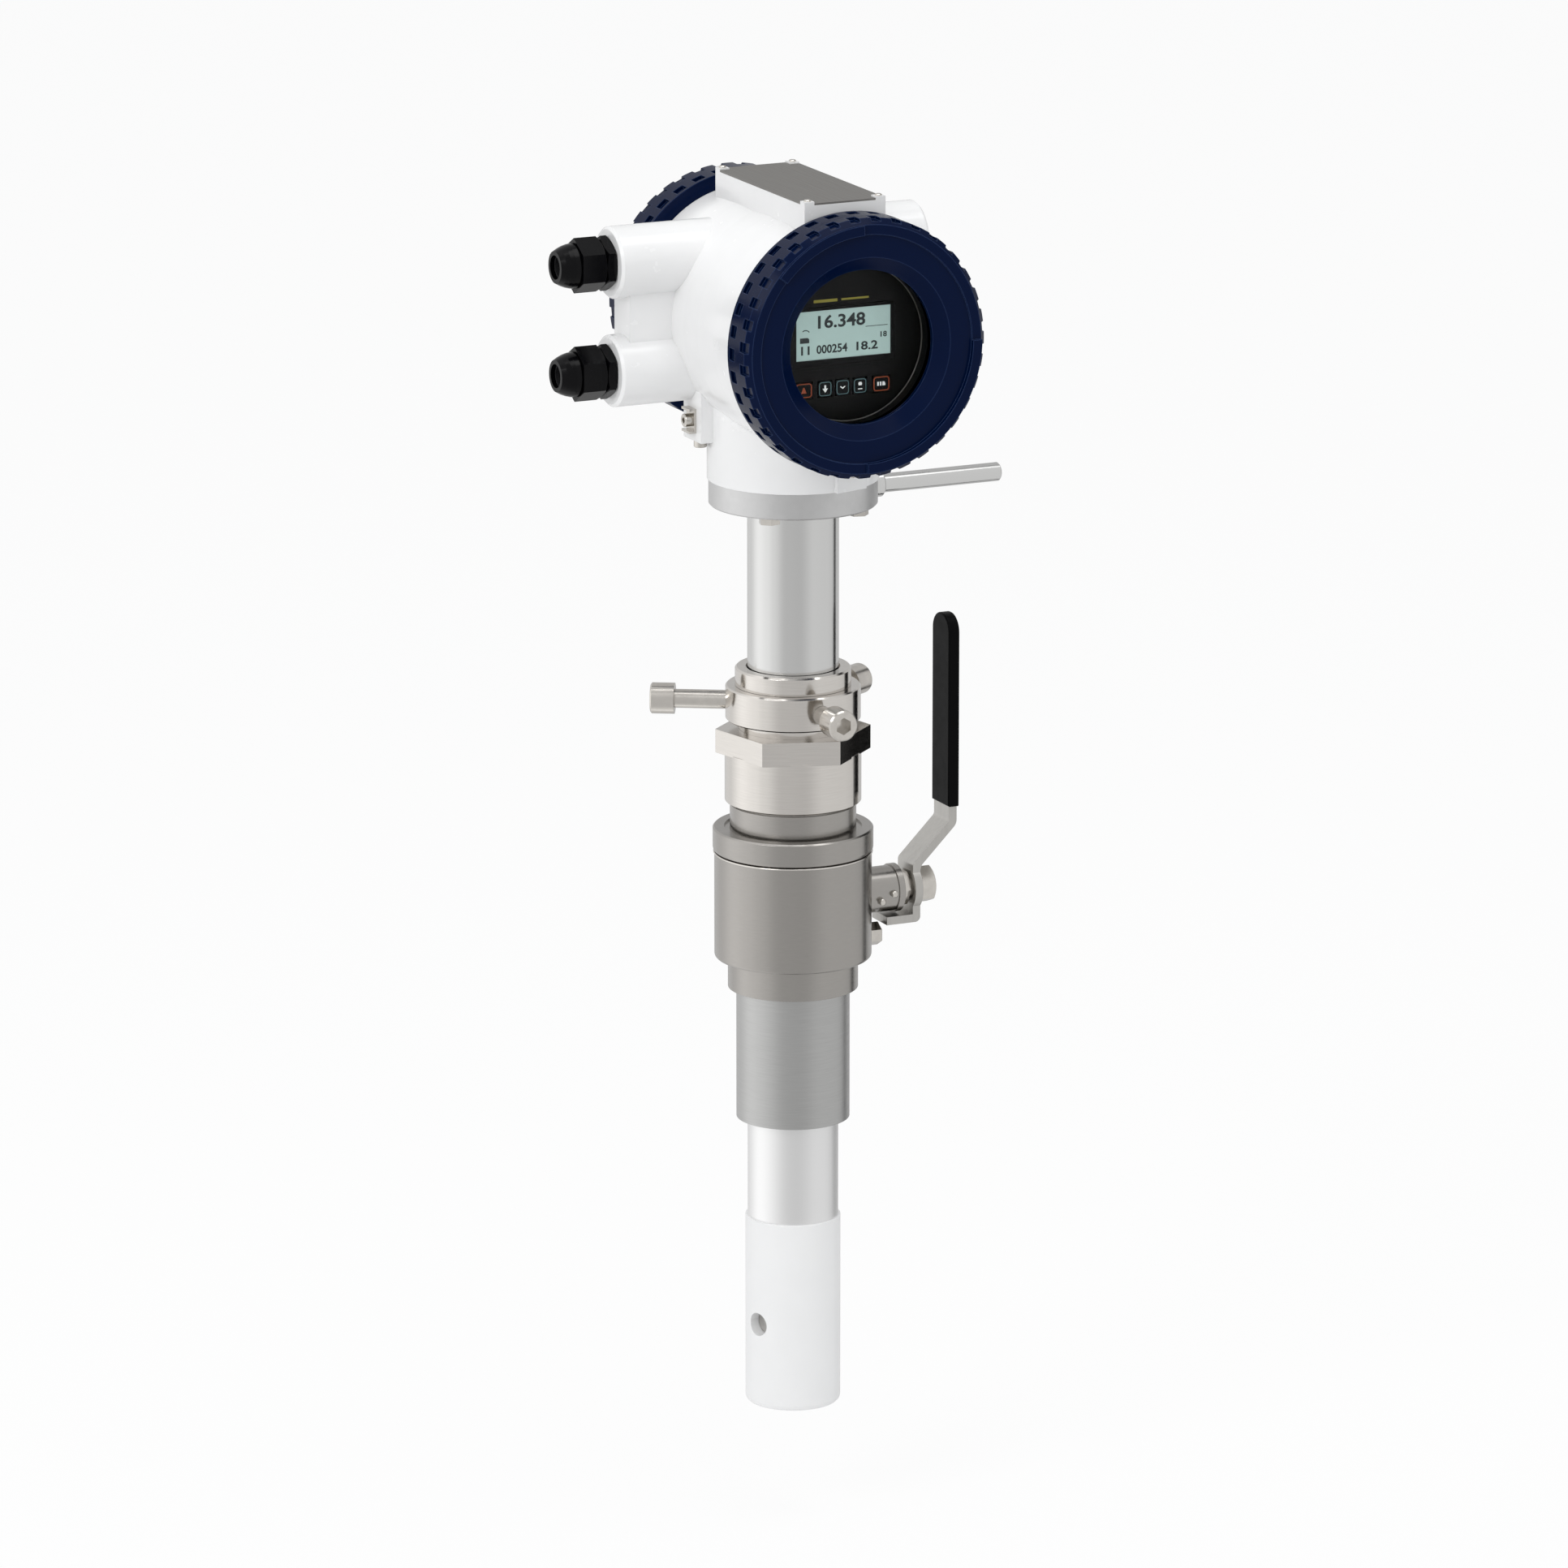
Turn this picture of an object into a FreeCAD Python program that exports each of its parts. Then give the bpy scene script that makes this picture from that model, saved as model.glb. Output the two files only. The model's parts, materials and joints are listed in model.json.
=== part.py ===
import FreeCAD, Part
import Sketcher
import math
import os
import re

# Insertion flow meter: a transmitter head on a steel stem, which passes through a clamp collar and a
# ball valve into the pipe and ends in a plastic sensor sleeve.
# Millimetres. The origin is the middle of the weld nipple's lower end and +Z runs up the stem.
# The display faces -Y, the cable glands point to -X and the valve lever is on the +X side.

SIZES = {
    # Clearances
    "fit_gap": 0.05,  # fixed fits: sockets, spigots and screwed joints
    "run_gap": 0.08,  # shafts and bushes that turn or slide
    "turn_gap": 0.1,  # faces that turn on each other
    "edge": 0.8,  # small turned chamfers
    # Weld nipple, a length of two inch pipe
    "base_d": 60.3,
    "base_wall": 2.77,
    "base_len": 71.7,
    "base_socket": 12.0,
    "base_step": 1.0,  # depth of the screwed end below the pipe's wall
    # Ball valve
    "neck_d": 69.2,
    "neck_len": 16.5,
    "body_d": 83.5,
    "body_len": 57.8,
    "body_wall": 4.75,
    "body_round": 1.6,
    "cap_proud": 0.8,
    "cap_len": 13.3,
    "cap_round": 2.2,
    "cap_socket": 9.0,
    "cap_groove": 3.0,
    "cap_groove_deep": 1.0,
    "bore_d": 52.0,
    "ball_up": 30.5,
    "ball_gap": 0.5,
    "seat_inset": 3.5,
    "seat_reach": 27.5,
    "seat_edge": 17.0,
    "bonnet_d": 24.5,
    "bonnet_len": 18.55,
    "bonnet_root": 1.2,
    "lip_d": 26.0,
    "lip_len": 3.4,
    "plug_up": 6.3,
    "plug_d": 8.0,
    "plug_af": 11.0,
    "plug_head": 7.6,
    "plug_boss_d": 14.0,
    "plug_boss_out": 0.8,
    "plug_len": 6.0,
    "washer": 1.0,
    "stop_d": 3.6,
    "stop_out": 2.4,
    "stop_deep": 1.6,
    # Spindle, gland nut and lever of the valve
    "spindle_d": 14.0,
    "drive_d": 11.0,
    "drive_deep": 6.6,
    "shoulder_d": 18.0,
    "shoulder_len": 3.0,
    "shoulder_gap": 0.4,
    "gland_bore": 19.0,
    "gland_deep": 12.3,
    "gland_packing": 6.5,
    "gland_nut_af": 17.5,
    "gland_nut_len": 4.6,
    "lever_gap": 1.2,
    "lever_thick": 4.4,
    "lever_wide": 18.5,
    "lever_eye": 26.0,
    "lever_flats": 10.0,
    "lever_first_bend": 14.0,
    "lever_step": 21.3,
    "lever_top": 146.0,
    "lever_bend": 3.0,
    "lever_outer": 2.64,
    "tab_gap": 0.6,
    "tab_len": 19.6,
    "lever_nut_af": 18.0,
    "lever_nut_len": 9.6,
    "spindle_thread": 12.0,
    "spindle_end": 1.2,
    "lever_tip": 1.2,
    "grip_wall": 1.0,
    "grip_top": 1.4,
    "grip_low": 43.3,
    "grip_round": 0.9,
    # Outlet nipple and the packed fitting above it
    "nipple_d": 66.9,
    "nipple_wall": 6.4,
    "nipple_len": 14.0,
    "relief_len": 1.4,
    "relief_deep": 1.2,
    "barrel_d": 72.3,
    "barrel_len": 26.9,
    "barrel_socket": 11.0,
    "hex_af": 71.5,
    "hex_len": 12.7,
    "hex_turn": 11.9,
    "packing_d": 58.0,
    "packing_up": 16.7,
    "packing_ring": 5.2,
    "packing_gap": 0.1,
    "follower_show": 5.1,
    # Clamp collar, guide ring and clamp screws
    "collar_d": 71.5,
    "collar_len": 18.3,
    "collar_gap": 0.45,
    "guide_seat_d": 55.0,
    "guide_spigot": 3.3,
    "guide_d": 61.4,
    "guide_len": 9.9,
    "guide_edge": 1.0,
    "mouth_gap": 0.8,
    "mouth_deep": 3.0,
    "clamp_up": 9.0,
    "clamp_d": 10.0,
    "pad_len": 4.0,
    "pad_gap": 0.15,
    "clamp_shank": 21.5,
    "clamp_shank_long": 34.3,
    "clamp_head_d": 16.5,
    "clamp_head_len": 12.7,
    "clamp_key": 8.0,
    "clamp_key_deep": 6.0,
    # Probe: stem tube and sensor sleeve
    "stem_d": 48.3,
    "stem_wall": 3.0,
    "stem_show": 88.0,
    "stem_len": 388.8,
    "spigot_d": 43.6,
    "spigot_wall": 2.5,
    "spigot_len": 28.0,
    "sleeve_d": 50.8,
    "sleeve_len": 103.9,
    "sleeve_round": 3.0,
    "sleeve_floor": 5.0,
    "coil_bore": 28.0,
    "port_up": 46.5,
    "port_d": 12.6,
    "port_deep": 7.75,
    "port_turn": 17.0,
    "electrode_head": 1.5,
    "electrode_gap": 0.3,
    "electrode_d": 5.0,
    "electrode_in": 12.0,
    "coil_len": 34.0,
    "coil_flange": 1.6,
    "coil_d": 24.0,
    # Neck flange, its bolts and the rod that shows the flow direction
    "flange_d": 89.0,
    "flange_len": 13.9,
    "bolt_inset": 8.5,
    "bolt_d": 6.0,
    "bolt_af": 10.0,
    "bolt_head": 3.8,
    "bolt_deep": 8.0,
    "rod_d": 10.0,
    "rod_up": 5.5,
    "rod_reach": 120.0,
    "rod_seat": 8.0,
    "rod_collar_d": 14.0,
    "rod_collar_len": 6.6,
    # Housing of the head, measured from the head's middle
    "head_up": 84.7,
    "shell_d": 126.0,
    "front_d": 122.0,
    "rear_d": 121.0,
    "shell_curve": 320.0,
    "front_len": 66.3,
    "rear_len": 62.0,
    "front_ring": 7.0,
    "ring_step": 1.0,
    "chamber_d": 112.0,
    "thread_d": 110.0,
    "thread_run": 14.0,
    "wall_half": 4.0,
    "head_neck_d": 90.6,
    "neck_bore": 56.0,
    "pad_wide": 46.0,
    "pad_front": 63.2,
    "pad_rear": 47.0,
    "pad_rise": 9.2,
    "boss_d": 38.0,
    "boss_y": 24.0,
    "boss_upper": 33.0,
    "boss_lower": 24.5,
    "boss_left": 95.0,
    "boss_right": 82.0,
    "boss_edge": 1.5,
    "web_wide": 20.0,
    "web_back": 8.0,
    "entry_d": 20.0,
    "entry_reach": 40.0,
    "lug_inset": 11.0,
    "lug_len": 22.0,
    "lug_y": 13.0,
    "lug_wide": 22.0,
    "lug_low": 63.0,
    "lug_high": 30.0,
    "flat_turn": 74.0,
    "flat_wide": 20.0,
    "flat_high": 16.0,
    "flat_out": 1.6,
    "flat_root": 6.0,
    # Nameplate
    "plate_thick": 1.0,
    "plate_boss": 5.6,
    "plate_boss_high": 1.8,
    "plate_screw_d": 2.5,
    "plate_screw_head": 3.8,
    "plate_screw_high": 0.9,
    "plate_screw_deep": 7.0,
    # Covers
    "cover_d": 136.8,
    "cover_deep": 23.4,
    "cover_face_d": 130.4,
    "cover_cone": 3.4,
    "cover_gap": 0.4,
    "cover_bore": 102.0,
    "cover_spigot": 10.0,
    "band_d": 120.0,
    "band_high": 1.0,
    "band_raise": 1.6,
    "band_sink": 0.6,
    "ring_face_d": 96.0,
    "window_d": 81.2,
    "window_sink": 6.8,
    "window_lip": 2.4,
    "glass_lap": 3.7,
    "glass_thick": 5.0,
    "gasket_thick": 1.0,
    "gasket_inset": 0.5,
    "retainer_thick": 7.0,
    "retainer_inset": 1.0,
    "lid_wall": 5.0,
    "notch_start": 2.0,
    "notch_wide": 6.4,
    "notch_long": 6.4,
    "notch_deep": 2.2,
    "slot_wide": 5.4,
    "slot_deep": 1.8,
    "slot_start": 14.6,
    "notch_count": 36,
    "seal_wide": 3.7,
    "seal_deep": 2.2,
    "seal_gap": 0.3,
    # Display
    "panel_y": 61.4,
    "panel_d": 98.0,
    "panel_thick": 3.0,
    "panel_skirt": 8.0,
    "panel_skirt_wall": 2.0,
    "board_d": 92.0,
    "board_thick": 1.6,
    "lcd_wide": 54.0,
    "lcd_high": 25.8,
    "lcd_up": 3.4,
    "lcd_frame": 3.4,
    "lcd_thick": 6.0,
    "lcd_sink": 0.8,
    "key_down": 25.0,
    "key_pitch": 10.0,
    "key_outer": 22.2,
    "key_shift": -0.8,
    "key_wide": 7.8,
    "key_outer_wide": 9.8,
    "key_high": 8.2,
    "key_proud": 0.4,
    "key_thick": 4.6,
    "key_gap": 0.3,
    "key_round": 1.6,
    "standoff_d": 6.0,
    "standoff_circle": 76.0,
    # Terminals
    "terminal_wide": 66.0,
    "terminal_tall": 50.0,
    "block_wide": 60.0,
    "block_tall": 16.0,
    "block_deep": 13.0,
    "way_count": 7,
    "way_d": 4.0,
    "way_deep": 6.0,
    # Cable glands and blanking plugs
    "gland_af": 25.4,
    "gland_base": 5.5,
    "gland_slot": 0.4,
    "gland_thread": 13.0,
    "gland_neck_d": 19.0,
    "gland_neck_len": 8.0,
    "gland_bore_d": 14.0,
    "cable_d": 11.7,
    "nut_hex_len": 13.5,
    "nut_len": 24.2,
    "nut_dome_d": 17.0,
    "nut_dome_curve": 17.0,
    "nut_shelf": 2.4,
    "nut_wall_d": 21.4,
    "insert_d": 18.0,
    "insert_len": 15.5,
    "insert_nose": 2.2,
    "insert_lead": 0.5,
    "blank_len": 12.0,
    "blank_af": 10.0,
    "blank_deep": 5.0,
    # Socket screws and the earth clip on the lug
    "screw_d": 4.0,
    "screw_deep": 7.0,
    "screw_head_d": 7.0,
    "screw_head": 4.0,
    "screw_key": 3.0,
    "screw_key_deep": 2.0,
    "clip_thick": 1.2,
    "clip_wide": 10.0,
    "clip_tall": 13.0,
    "clip_lip": 4.0,
    "lug_screw_up": 11.0,
    "lock_inset": 4.5,
}

# Places that several pieces share, worked out from the sizes.
LEVELS = {
    "base_end_d": "base_d - 2 * base_step",
    "cavity_d": "body_d - 2 * body_wall",
    "ball_d": "cavity_d - 2 * ball_gap",
    "seat_d": "ball_d - 2 * seat_inset",
    "cap_d": "body_d + 2 * cap_proud",
    "bonnet_end": "body_d / 2 + bonnet_len",
    "bolt_circle": "flange_d - 2 * bolt_inset",
    "lug_out": "shell_d / 2 - lug_inset",
    "lug_in": "lug_out - lug_len",
    "glass_d": "window_d + 2 * glass_lap",
    "gasket_bore": "window_d + 2 * gasket_inset",
    "retainer_bore": "window_d + 2 * retainer_inset",
    "seal_bore": "thread_d + 2 * seal_gap",
    "seal_d": "seal_bore + 2 * seal_wide",
    "pad_high": "shell_d / 2 + pad_rise",
    "body_z": "base_len + neck_len",
    "ball_z": "base_len + neck_len + ball_up",
    "seat_low": "base_len + neck_len + ball_up - seat_reach",
    "seat_high": "base_len + neck_len + ball_up + seat_reach",
    "pocket_low": "base_len + neck_len + ball_up - seat_edge",
    "pocket_high": "base_len + neck_len + ball_up + seat_edge",
    "cap_z": "base_len + neck_len + body_len",
    "cap_top": "cap_z + cap_len",
    "barrel_z": "cap_top + nipple_len",
    "hex_z": "barrel_z + barrel_len",
    "hex_top": "hex_z + hex_len",
    "packing_z": "barrel_z + packing_up",
    "follower_z": "packing_z + 3 * packing_ring + packing_gap",
    "collar_z": "hex_top + follower_show",
    "collar_top": "collar_z + collar_len",
    "clamp_z": "collar_z + clamp_up",
    "guide_top": "collar_top + guide_len",
    "flange_z": "guide_top + stem_show",
    "neck_z": "flange_z + flange_len",
    "head_z": "neck_z + head_up",
    "rod_z": "flange_z + rod_up",
    "sleeve_top": "flange_z - stem_len",
    "sleeve_bottom": "sleeve_top - sleeve_len",
    "port_z": "sleeve_bottom + port_up",
    "shoulder_x": "ball_d / 2 + shoulder_gap",
    "lever_x": "bonnet_end + gland_nut_len + lever_gap",
    "lever_out": "lever_x + lever_thick",
    "grip_x": "lever_x + lever_step",
    "board_y": "panel_y - panel_thick - lcd_thick",
}

doc = FreeCAD.newDocument("insertion_flow_meter")
sheet = doc.addObject("Spreadsheet::Sheet", "Sizes")
levels = doc.addObject("App::VarSet", "Levels")
reader = doc.addObject("App::VarSet", "Reader")
reader.addProperty("App::PropertyFloat", "value")
SUB_PARTS = []


def formula(text):
    """The formula with each size and level named by its cell."""

    def cell(match):
        name = match.group()
        if name in SIZES:
            return "Sizes." + name
        if name in LEVELS:
            return "Levels." + name
        return name

    return re.sub(r"[a-z][a-z0-9_]*", cell, text)


def fill_sheet():
    for row, (name, value) in enumerate(SIZES.items(), start=1):
        sheet.set(f"A{row}", name)
        sheet.set(f"B{row}", str(value))
        sheet.setAlias(f"B{row}", name)
    doc.recompute()
    for name, text in LEVELS.items():
        levels.addProperty("App::PropertyFloat", name)
        levels.setExpression(name, formula(text))
    doc.recompute()


def number(text):
    """A formula's present value, for first guesses and for finding edges."""
    reader.setExpression("value", formula(text))
    reader.recompute()
    return reader.value


def bind(item, sizes):
    for name, text in sizes.items():
        item.setExpression(name, formula(text))


def plane(body, role):
    return [item for item in body.Origin.OriginFeatures if item.Role == role][0]


def new_body(label):
    body = doc.addObject("PartDesign::Body", label)
    body.Label = label
    body.AllowCompound = True
    return body


def place(item, x="0", y="0", z="0", axis=(0, 0, 1), turn="0"):
    item.Placement = FreeCAD.Placement(
        FreeCAD.Vector(0, 0, 0), FreeCAD.Rotation(FreeCAD.Vector(*axis), number(turn))
    )
    bind(item, {"Placement.Base.x": x, "Placement.Base.y": y, "Placement.Base.z": z})
    if turn != "0":
        bind(item, {"Placement.Rotation.Angle": turn})


def keep(item, label=None):
    """Counts an object as one of the meter's pieces."""
    if label:
        item.Label = label
    SUB_PARTS.append(item)
    return item


def new_sketch(body, role, offset="0"):
    sketch = body.newObject("Sketcher::SketchObject", body.Name + "_sketch")
    sketch.AttachmentSupport = [(plane(body, role), "")]
    sketch.MapMode = "FlatFace"
    if offset != "0":
        bind(sketch, {"AttachmentOffset.Base.z": offset})
    return sketch


def fix_point(sketch, geometry, end, point):
    """Holds one point of the sketch at two formulas measured from the sketch's origin."""
    for kind, axis, text in (("DistanceX", -2, point[0]), ("DistanceY", -1, point[1])):
        if text == "0":
            sketch.addConstraint(Sketcher.Constraint("PointOnObject", geometry, end, axis))
        else:
            index = sketch.addConstraint(
                Sketcher.Constraint(kind, -1, 1, geometry, end, number(text))
            )
            bind(sketch, {f"Constraints[{index}]": text})


def draw_arc(sketch, start, end, radius_text):
    """An arc from start to end; a negative radius puts the middle on the right hand."""
    radius = number(radius_text)
    chord = end - start
    side = FreeCAD.Vector(-chord.y, chord.x, 0).normalize() * math.copysign(1, radius)
    rise = math.sqrt(max(radius**2 - (chord.Length / 2) ** 2, 0))
    middle = start + chord * 0.5 + side * rise
    circle = Part.Circle(middle, FreeCAD.Vector(0, 0, 1), abs(radius))
    ends = (start, end) if radius > 0 else (end, start)
    angles = [math.atan2(p.y - middle.y, p.x - middle.x) for p in ends]
    index = sketch.addGeometry(Part.ArcOfCircle(circle, *angles), False)
    constraint = sketch.addConstraint(Sketcher.Constraint("Radius", index, abs(radius)))
    bind(sketch, {f"Constraints[{constraint}]": f"abs({radius_text})"})
    return (index, 1, 2) if radius > 0 else (index, 2, 1)


def draw_outline(sketch, outline):
    """A closed outline of points; a third value on a point bends the side that starts there."""
    spots = [FreeCAD.Vector(number(point[0]), number(point[1]), 0) for point in outline]
    sides = []
    for index, point in enumerate(outline):
        start, end = spots[index], spots[(index + 1) % len(spots)]
        if len(point) == 3:
            sides.append(draw_arc(sketch, start, end, point[2]))
        else:
            line = sketch.addGeometry(Part.LineSegment(start, end), False)
            sides.append((line, 1, 2))
    for index, side in enumerate(sides):
        after = sides[(index + 1) % len(sides)]
        sketch.addConstraint(
            Sketcher.Constraint("Coincident", side[0], side[2], after[0], after[1])
        )
    for side, point in zip(sides, outline):
        fix_point(sketch, side[0], side[1], point)


def draw_circle(sketch, diameter, across="0", up="0"):
    middle = FreeCAD.Vector(number(across), number(up), 0)
    circle = Part.Circle(middle, FreeCAD.Vector(0, 0, 1), number(diameter) / 2)
    index = sketch.addGeometry(circle, False)
    if across == "0" and up == "0":
        sketch.addConstraint(Sketcher.Constraint("Coincident", index, 3, -1, 1))
    else:
        fix_point(sketch, index, 3, (across, up))
    constraint = sketch.addConstraint(
        Sketcher.Constraint("Diameter", index, number(diameter))
    )
    bind(sketch, {f"Constraints[{constraint}]": diameter})


def rectangle(left, right, low, high):
    return [(left, low), (right, low), (right, high), (left, high)]


def rounded(end, radius, size):
    """An outer edge rounded in three straight steps, from the end face up to the side."""
    return [
        (f"{end} + {size} * (1 - cos({angle}))", f"{radius} - {size} * (1 - sin({angle}))")
        for angle in (0, 30, 60, 90)
    ]


def bulge(start, end, curve, steps):
    """A shallow arc between two (along, radius) points, as points joined by straight steps."""
    run = f"({end[0]} - ({start[0]}))"
    points = []
    for step in range(steps + 1):
        part = step / steps
        along = f"{start[0]} + {run} * {part}"
        lift = f"{run} ^ 2 * {part * (1 - part)} / (2 * {curve})"
        points.append((along, f"{start[1]} + ({end[1]} - ({start[1]})) * {part} + {lift}"))
    return points


def hexagon(across_flats, turn="0", across="0", up="0"):
    corners = []
    for corner in range(6):
        angle = f"({turn} + {30 + 60 * corner})"
        reach = f"{across_flats} / sqrt(3)"
        corners.append((f"{across} + {reach} * cos({angle})", f"{up} + {reach} * sin({angle})"))
    return corners


SPIN = {
    "X": ("XZ_Plane", "H_Axis"),
    "Y": ("YZ_Plane", "H_Axis"),
    "Z": ("XZ_Plane", "V_Axis"),
}


def spin(body, axis, outlines, kind="PartDesign::Revolution"):
    """Turns outlines of (along, radius) points about one of the body's axes."""
    role, line = SPIN[axis]
    sketch = new_sketch(body, role)
    for outline in outlines:
        if axis == "Z":
            outline = [(p[1], p[0], *p[2:]) for p in outline]
        draw_outline(sketch, outline)
    feature = body.newObject(kind, body.Name + "_turn")
    feature.Profile = sketch
    feature.ReferenceAxis = (sketch, [line])
    feature.Angle = 360
    body.Tip = feature
    return feature


def turned(label, axis, *outlines):
    body = new_body(label)
    spin(body, axis, outlines)
    return body


def extrude(body, role, offset, length, outlines=(), circles=(), cut=False, back=False):
    """Pads or pockets outlines and circles that lie on a plane at an offset."""
    sketch = new_sketch(body, role, offset)
    for outline in outlines:
        draw_outline(sketch, outline)
    for circle in circles:
        draw_circle(sketch, *circle)
    kind = "PartDesign::Pocket" if cut else "PartDesign::Pad"
    feature = body.newObject(kind, body.Name + ("_pocket" if cut else "_pad"))
    feature.Profile = sketch
    feature.Reversed = back
    bind(feature, {"Length": length})
    body.Tip = feature
    return feature


def repeat_round(body, features, axis_role, count):
    pattern = body.newObject("PartDesign::PolarPattern", body.Name + "_ring")
    pattern.Originals = features
    pattern.Axis = (plane(body, axis_role), [""])
    pattern.Angle = 360
    if isinstance(count, str):
        bind(pattern, {"Occurrences": count})
    else:
        pattern.Occurrences = count
    body.Tip = pattern
    return pattern


def soften(body, size, test, kind="PartDesign::Fillet"):
    """Rounds or bevels the edges that pass the test."""
    doc.recompute()
    base = body.Tip
    names = [f"Edge{i}" for i, edge in enumerate(base.Shape.Edges, start=1) if test(edge)]
    feature = body.newObject(kind, body.Name + "_edge")
    feature.Base = (base, names)
    bind(feature, {"Radius" if kind.endswith("Fillet") else "Size": size})
    body.Tip = feature


def at(edge, axis, text):
    """Whether an edge lies wholly at one coordinate."""
    box = edge.BoundBox
    low = getattr(box, axis + "Min")
    high = getattr(box, axis + "Max")
    value = number(text)
    return abs(low - value) < 0.01 and abs(high - value) < 0.01


def group(label, items):
    compound = doc.addObject("Part::Compound", label)
    compound.Links = items
    return keep(compound, label)


def weld_nipple():
    bore = "base_d / 2 - base_wall"
    keep(turned("weld_nipple", "Z", [
        ("0", bore),
        ("0", "base_d / 2"),
        ("base_len", "base_d / 2"),
        ("base_len", "base_end_d / 2"),
        ("base_len + base_socket", "base_end_d / 2"),
        ("base_len + base_socket", bore),
    ]))


def valve_body():
    socket = "base_end_d / 2 + fit_gap"
    seat = "seat_d / 2 + fit_gap"
    body = keep(turned("valve_body", "Z", [
        ("base_len", socket),
        ("base_len", "neck_d / 2"),
        ("body_z", "neck_d / 2"),
        *rounded("body_z", "body_d / 2", "body_round"),
        ("cap_z", "body_d / 2"),
        ("cap_z", "cavity_d / 2"),
        ("pocket_low", "cavity_d / 2"),
        ("pocket_low", seat),
        ("seat_low", seat),
        ("seat_low", "bore_d / 2"),
        ("base_len + base_socket", "bore_d / 2"),
        ("base_len + base_socket", socket),
    ]))
    root = "(cavity_d + body_d) / 4 - bonnet_root"
    extrude(body, "YZ_Plane", root, f"bonnet_end - ({root})", circles=[("bonnet_d", "0", "ball_z")])
    extrude(body, "YZ_Plane", "bonnet_end - lip_len", "lip_len", circles=[("lip_d", "0", "ball_z")])
    plug_z = "body_z + plug_up"
    extrude(body, "YZ_Plane", root, f"body_d / 2 + plug_boss_out - ({root})",
            circles=[("plug_boss_d", "0", plug_z)])
    front = "bonnet_end + 1"
    extrude(body, "YZ_Plane", front, f"{front} - cavity_d / 2 + 6",
            circles=[("spindle_d + 2 * run_gap", "0", "ball_z")], cut=True)
    extrude(body, "YZ_Plane", front, "gland_deep + 1",
            circles=[("gland_bore", "0", "ball_z")], cut=True)
    extrude(body, "YZ_Plane", "shoulder_x + shoulder_len + turn_gap", "shoulder_len + 8",
            circles=[("shoulder_d + 4 * turn_gap", "0", "ball_z")], cut=True)
    extrude(body, "YZ_Plane", "body_d / 2 + plug_boss_out + 1", "plug_boss_out + 8",
            circles=[("plug_d + 2 * fit_gap", "0", plug_z)], cut=True)
    stop_x = "bonnet_end - lip_len - stop_d"
    for across in (stop_x, f"{stop_x} - 2 * stop_d"):
        up = "ball_z" if across == stop_x else "ball_z - stop_d"
        extrude(body, "XZ_Plane", "bonnet_d / 2 + 2", "stop_deep + 2",
                circles=[("stop_d + 2 * fit_gap", across, up)], cut=True)


def valve_end_cap():
    socket = "nipple_d / 2 + fit_gap"
    seat = "seat_d / 2 + fit_gap"
    spigot = "cavity_d / 2 - fit_gap"
    keep(turned("valve_end_cap", "Z", [
        ("pocket_high", seat),
        ("pocket_high", spigot),
        ("cap_z", spigot),
        *rounded("cap_z", "cap_d / 2", "cap_round"),
        ("cap_top - edge", "cap_d / 2"),
        ("cap_top", "cap_d / 2 - edge"),
        ("cap_top", f"{socket} + cap_groove"),
        ("cap_top - cap_groove_deep", f"{socket} + cap_groove"),
        ("cap_top - cap_groove_deep", socket),
        ("cap_top - cap_socket", socket),
        ("cap_top - cap_socket", "bore_d / 2"),
        ("seat_high", "bore_d / 2"),
        ("seat_high", seat),
    ]))


def valve_ball():
    ball = doc.addObject("Part::Sphere", "ball_sphere")
    bind(ball, {"Radius": "ball_d / 2"})
    place(ball, z="ball_z")
    bore = doc.addObject("Part::Cylinder", "ball_bore")
    bind(bore, {"Radius": "bore_d / 2", "Height": "ball_d"})
    place(bore, z="ball_z - ball_d / 2")
    socket = doc.addObject("Part::Cylinder", "ball_socket")
    bind(socket, {"Radius": "drive_d / 2 + turn_gap", "Height": "drive_deep + 3"})
    place(socket, x="shoulder_x - drive_deep - turn_gap", z="ball_z", axis=(0, 1, 0), turn="90")
    tools = doc.addObject("Part::MultiFuse", "ball_tools")
    tools.Shapes = [bore, socket]
    cut = doc.addObject("Part::Cut", "valve_ball")
    cut.Base = ball
    cut.Tool = tools
    keep(cut, "valve_ball")


def ball_seats():
    rings = []
    for near, far in (("-seat_edge", "-seat_reach"), ("seat_edge", "seat_reach")):
        rings.append([
            (far, "bore_d / 2"),
            (far, "seat_d / 2"),
            (near, "seat_d / 2"),
            (near, "bore_d / 2"),
        ])
    body = keep(turned("ball_seats", "Z", *rings))
    radius = "ball_d / 2 + fit_gap"
    sphere = [(f"-({radius})", "0", radius), ("0", radius, radius), (radius, "0")]
    spin(body, "Z", [sphere], "PartDesign::Groove")
    place(body, z="ball_z")


def body_plug():
    start = "body_d / 2 + plug_boss_out"
    body = keep(turned("body_plug", "X", [
        (f"{start} - plug_len", "0"),
        (f"{start} - plug_len", "plug_d / 2"),
        (start, "plug_d / 2"),
        (start, "plug_af / 2"),
        (f"{start} + washer", "plug_af / 2"),
        (f"{start} + washer", "0"),
    ]))
    extrude(body, "YZ_Plane", f"{start} + washer", "plug_head - washer", outlines=[hexagon("plug_af")])
    soften(body, "edge", lambda edge: at(edge, "X", f"{start} + plug_head"))
    place(body, z="body_z + plug_up")


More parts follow.
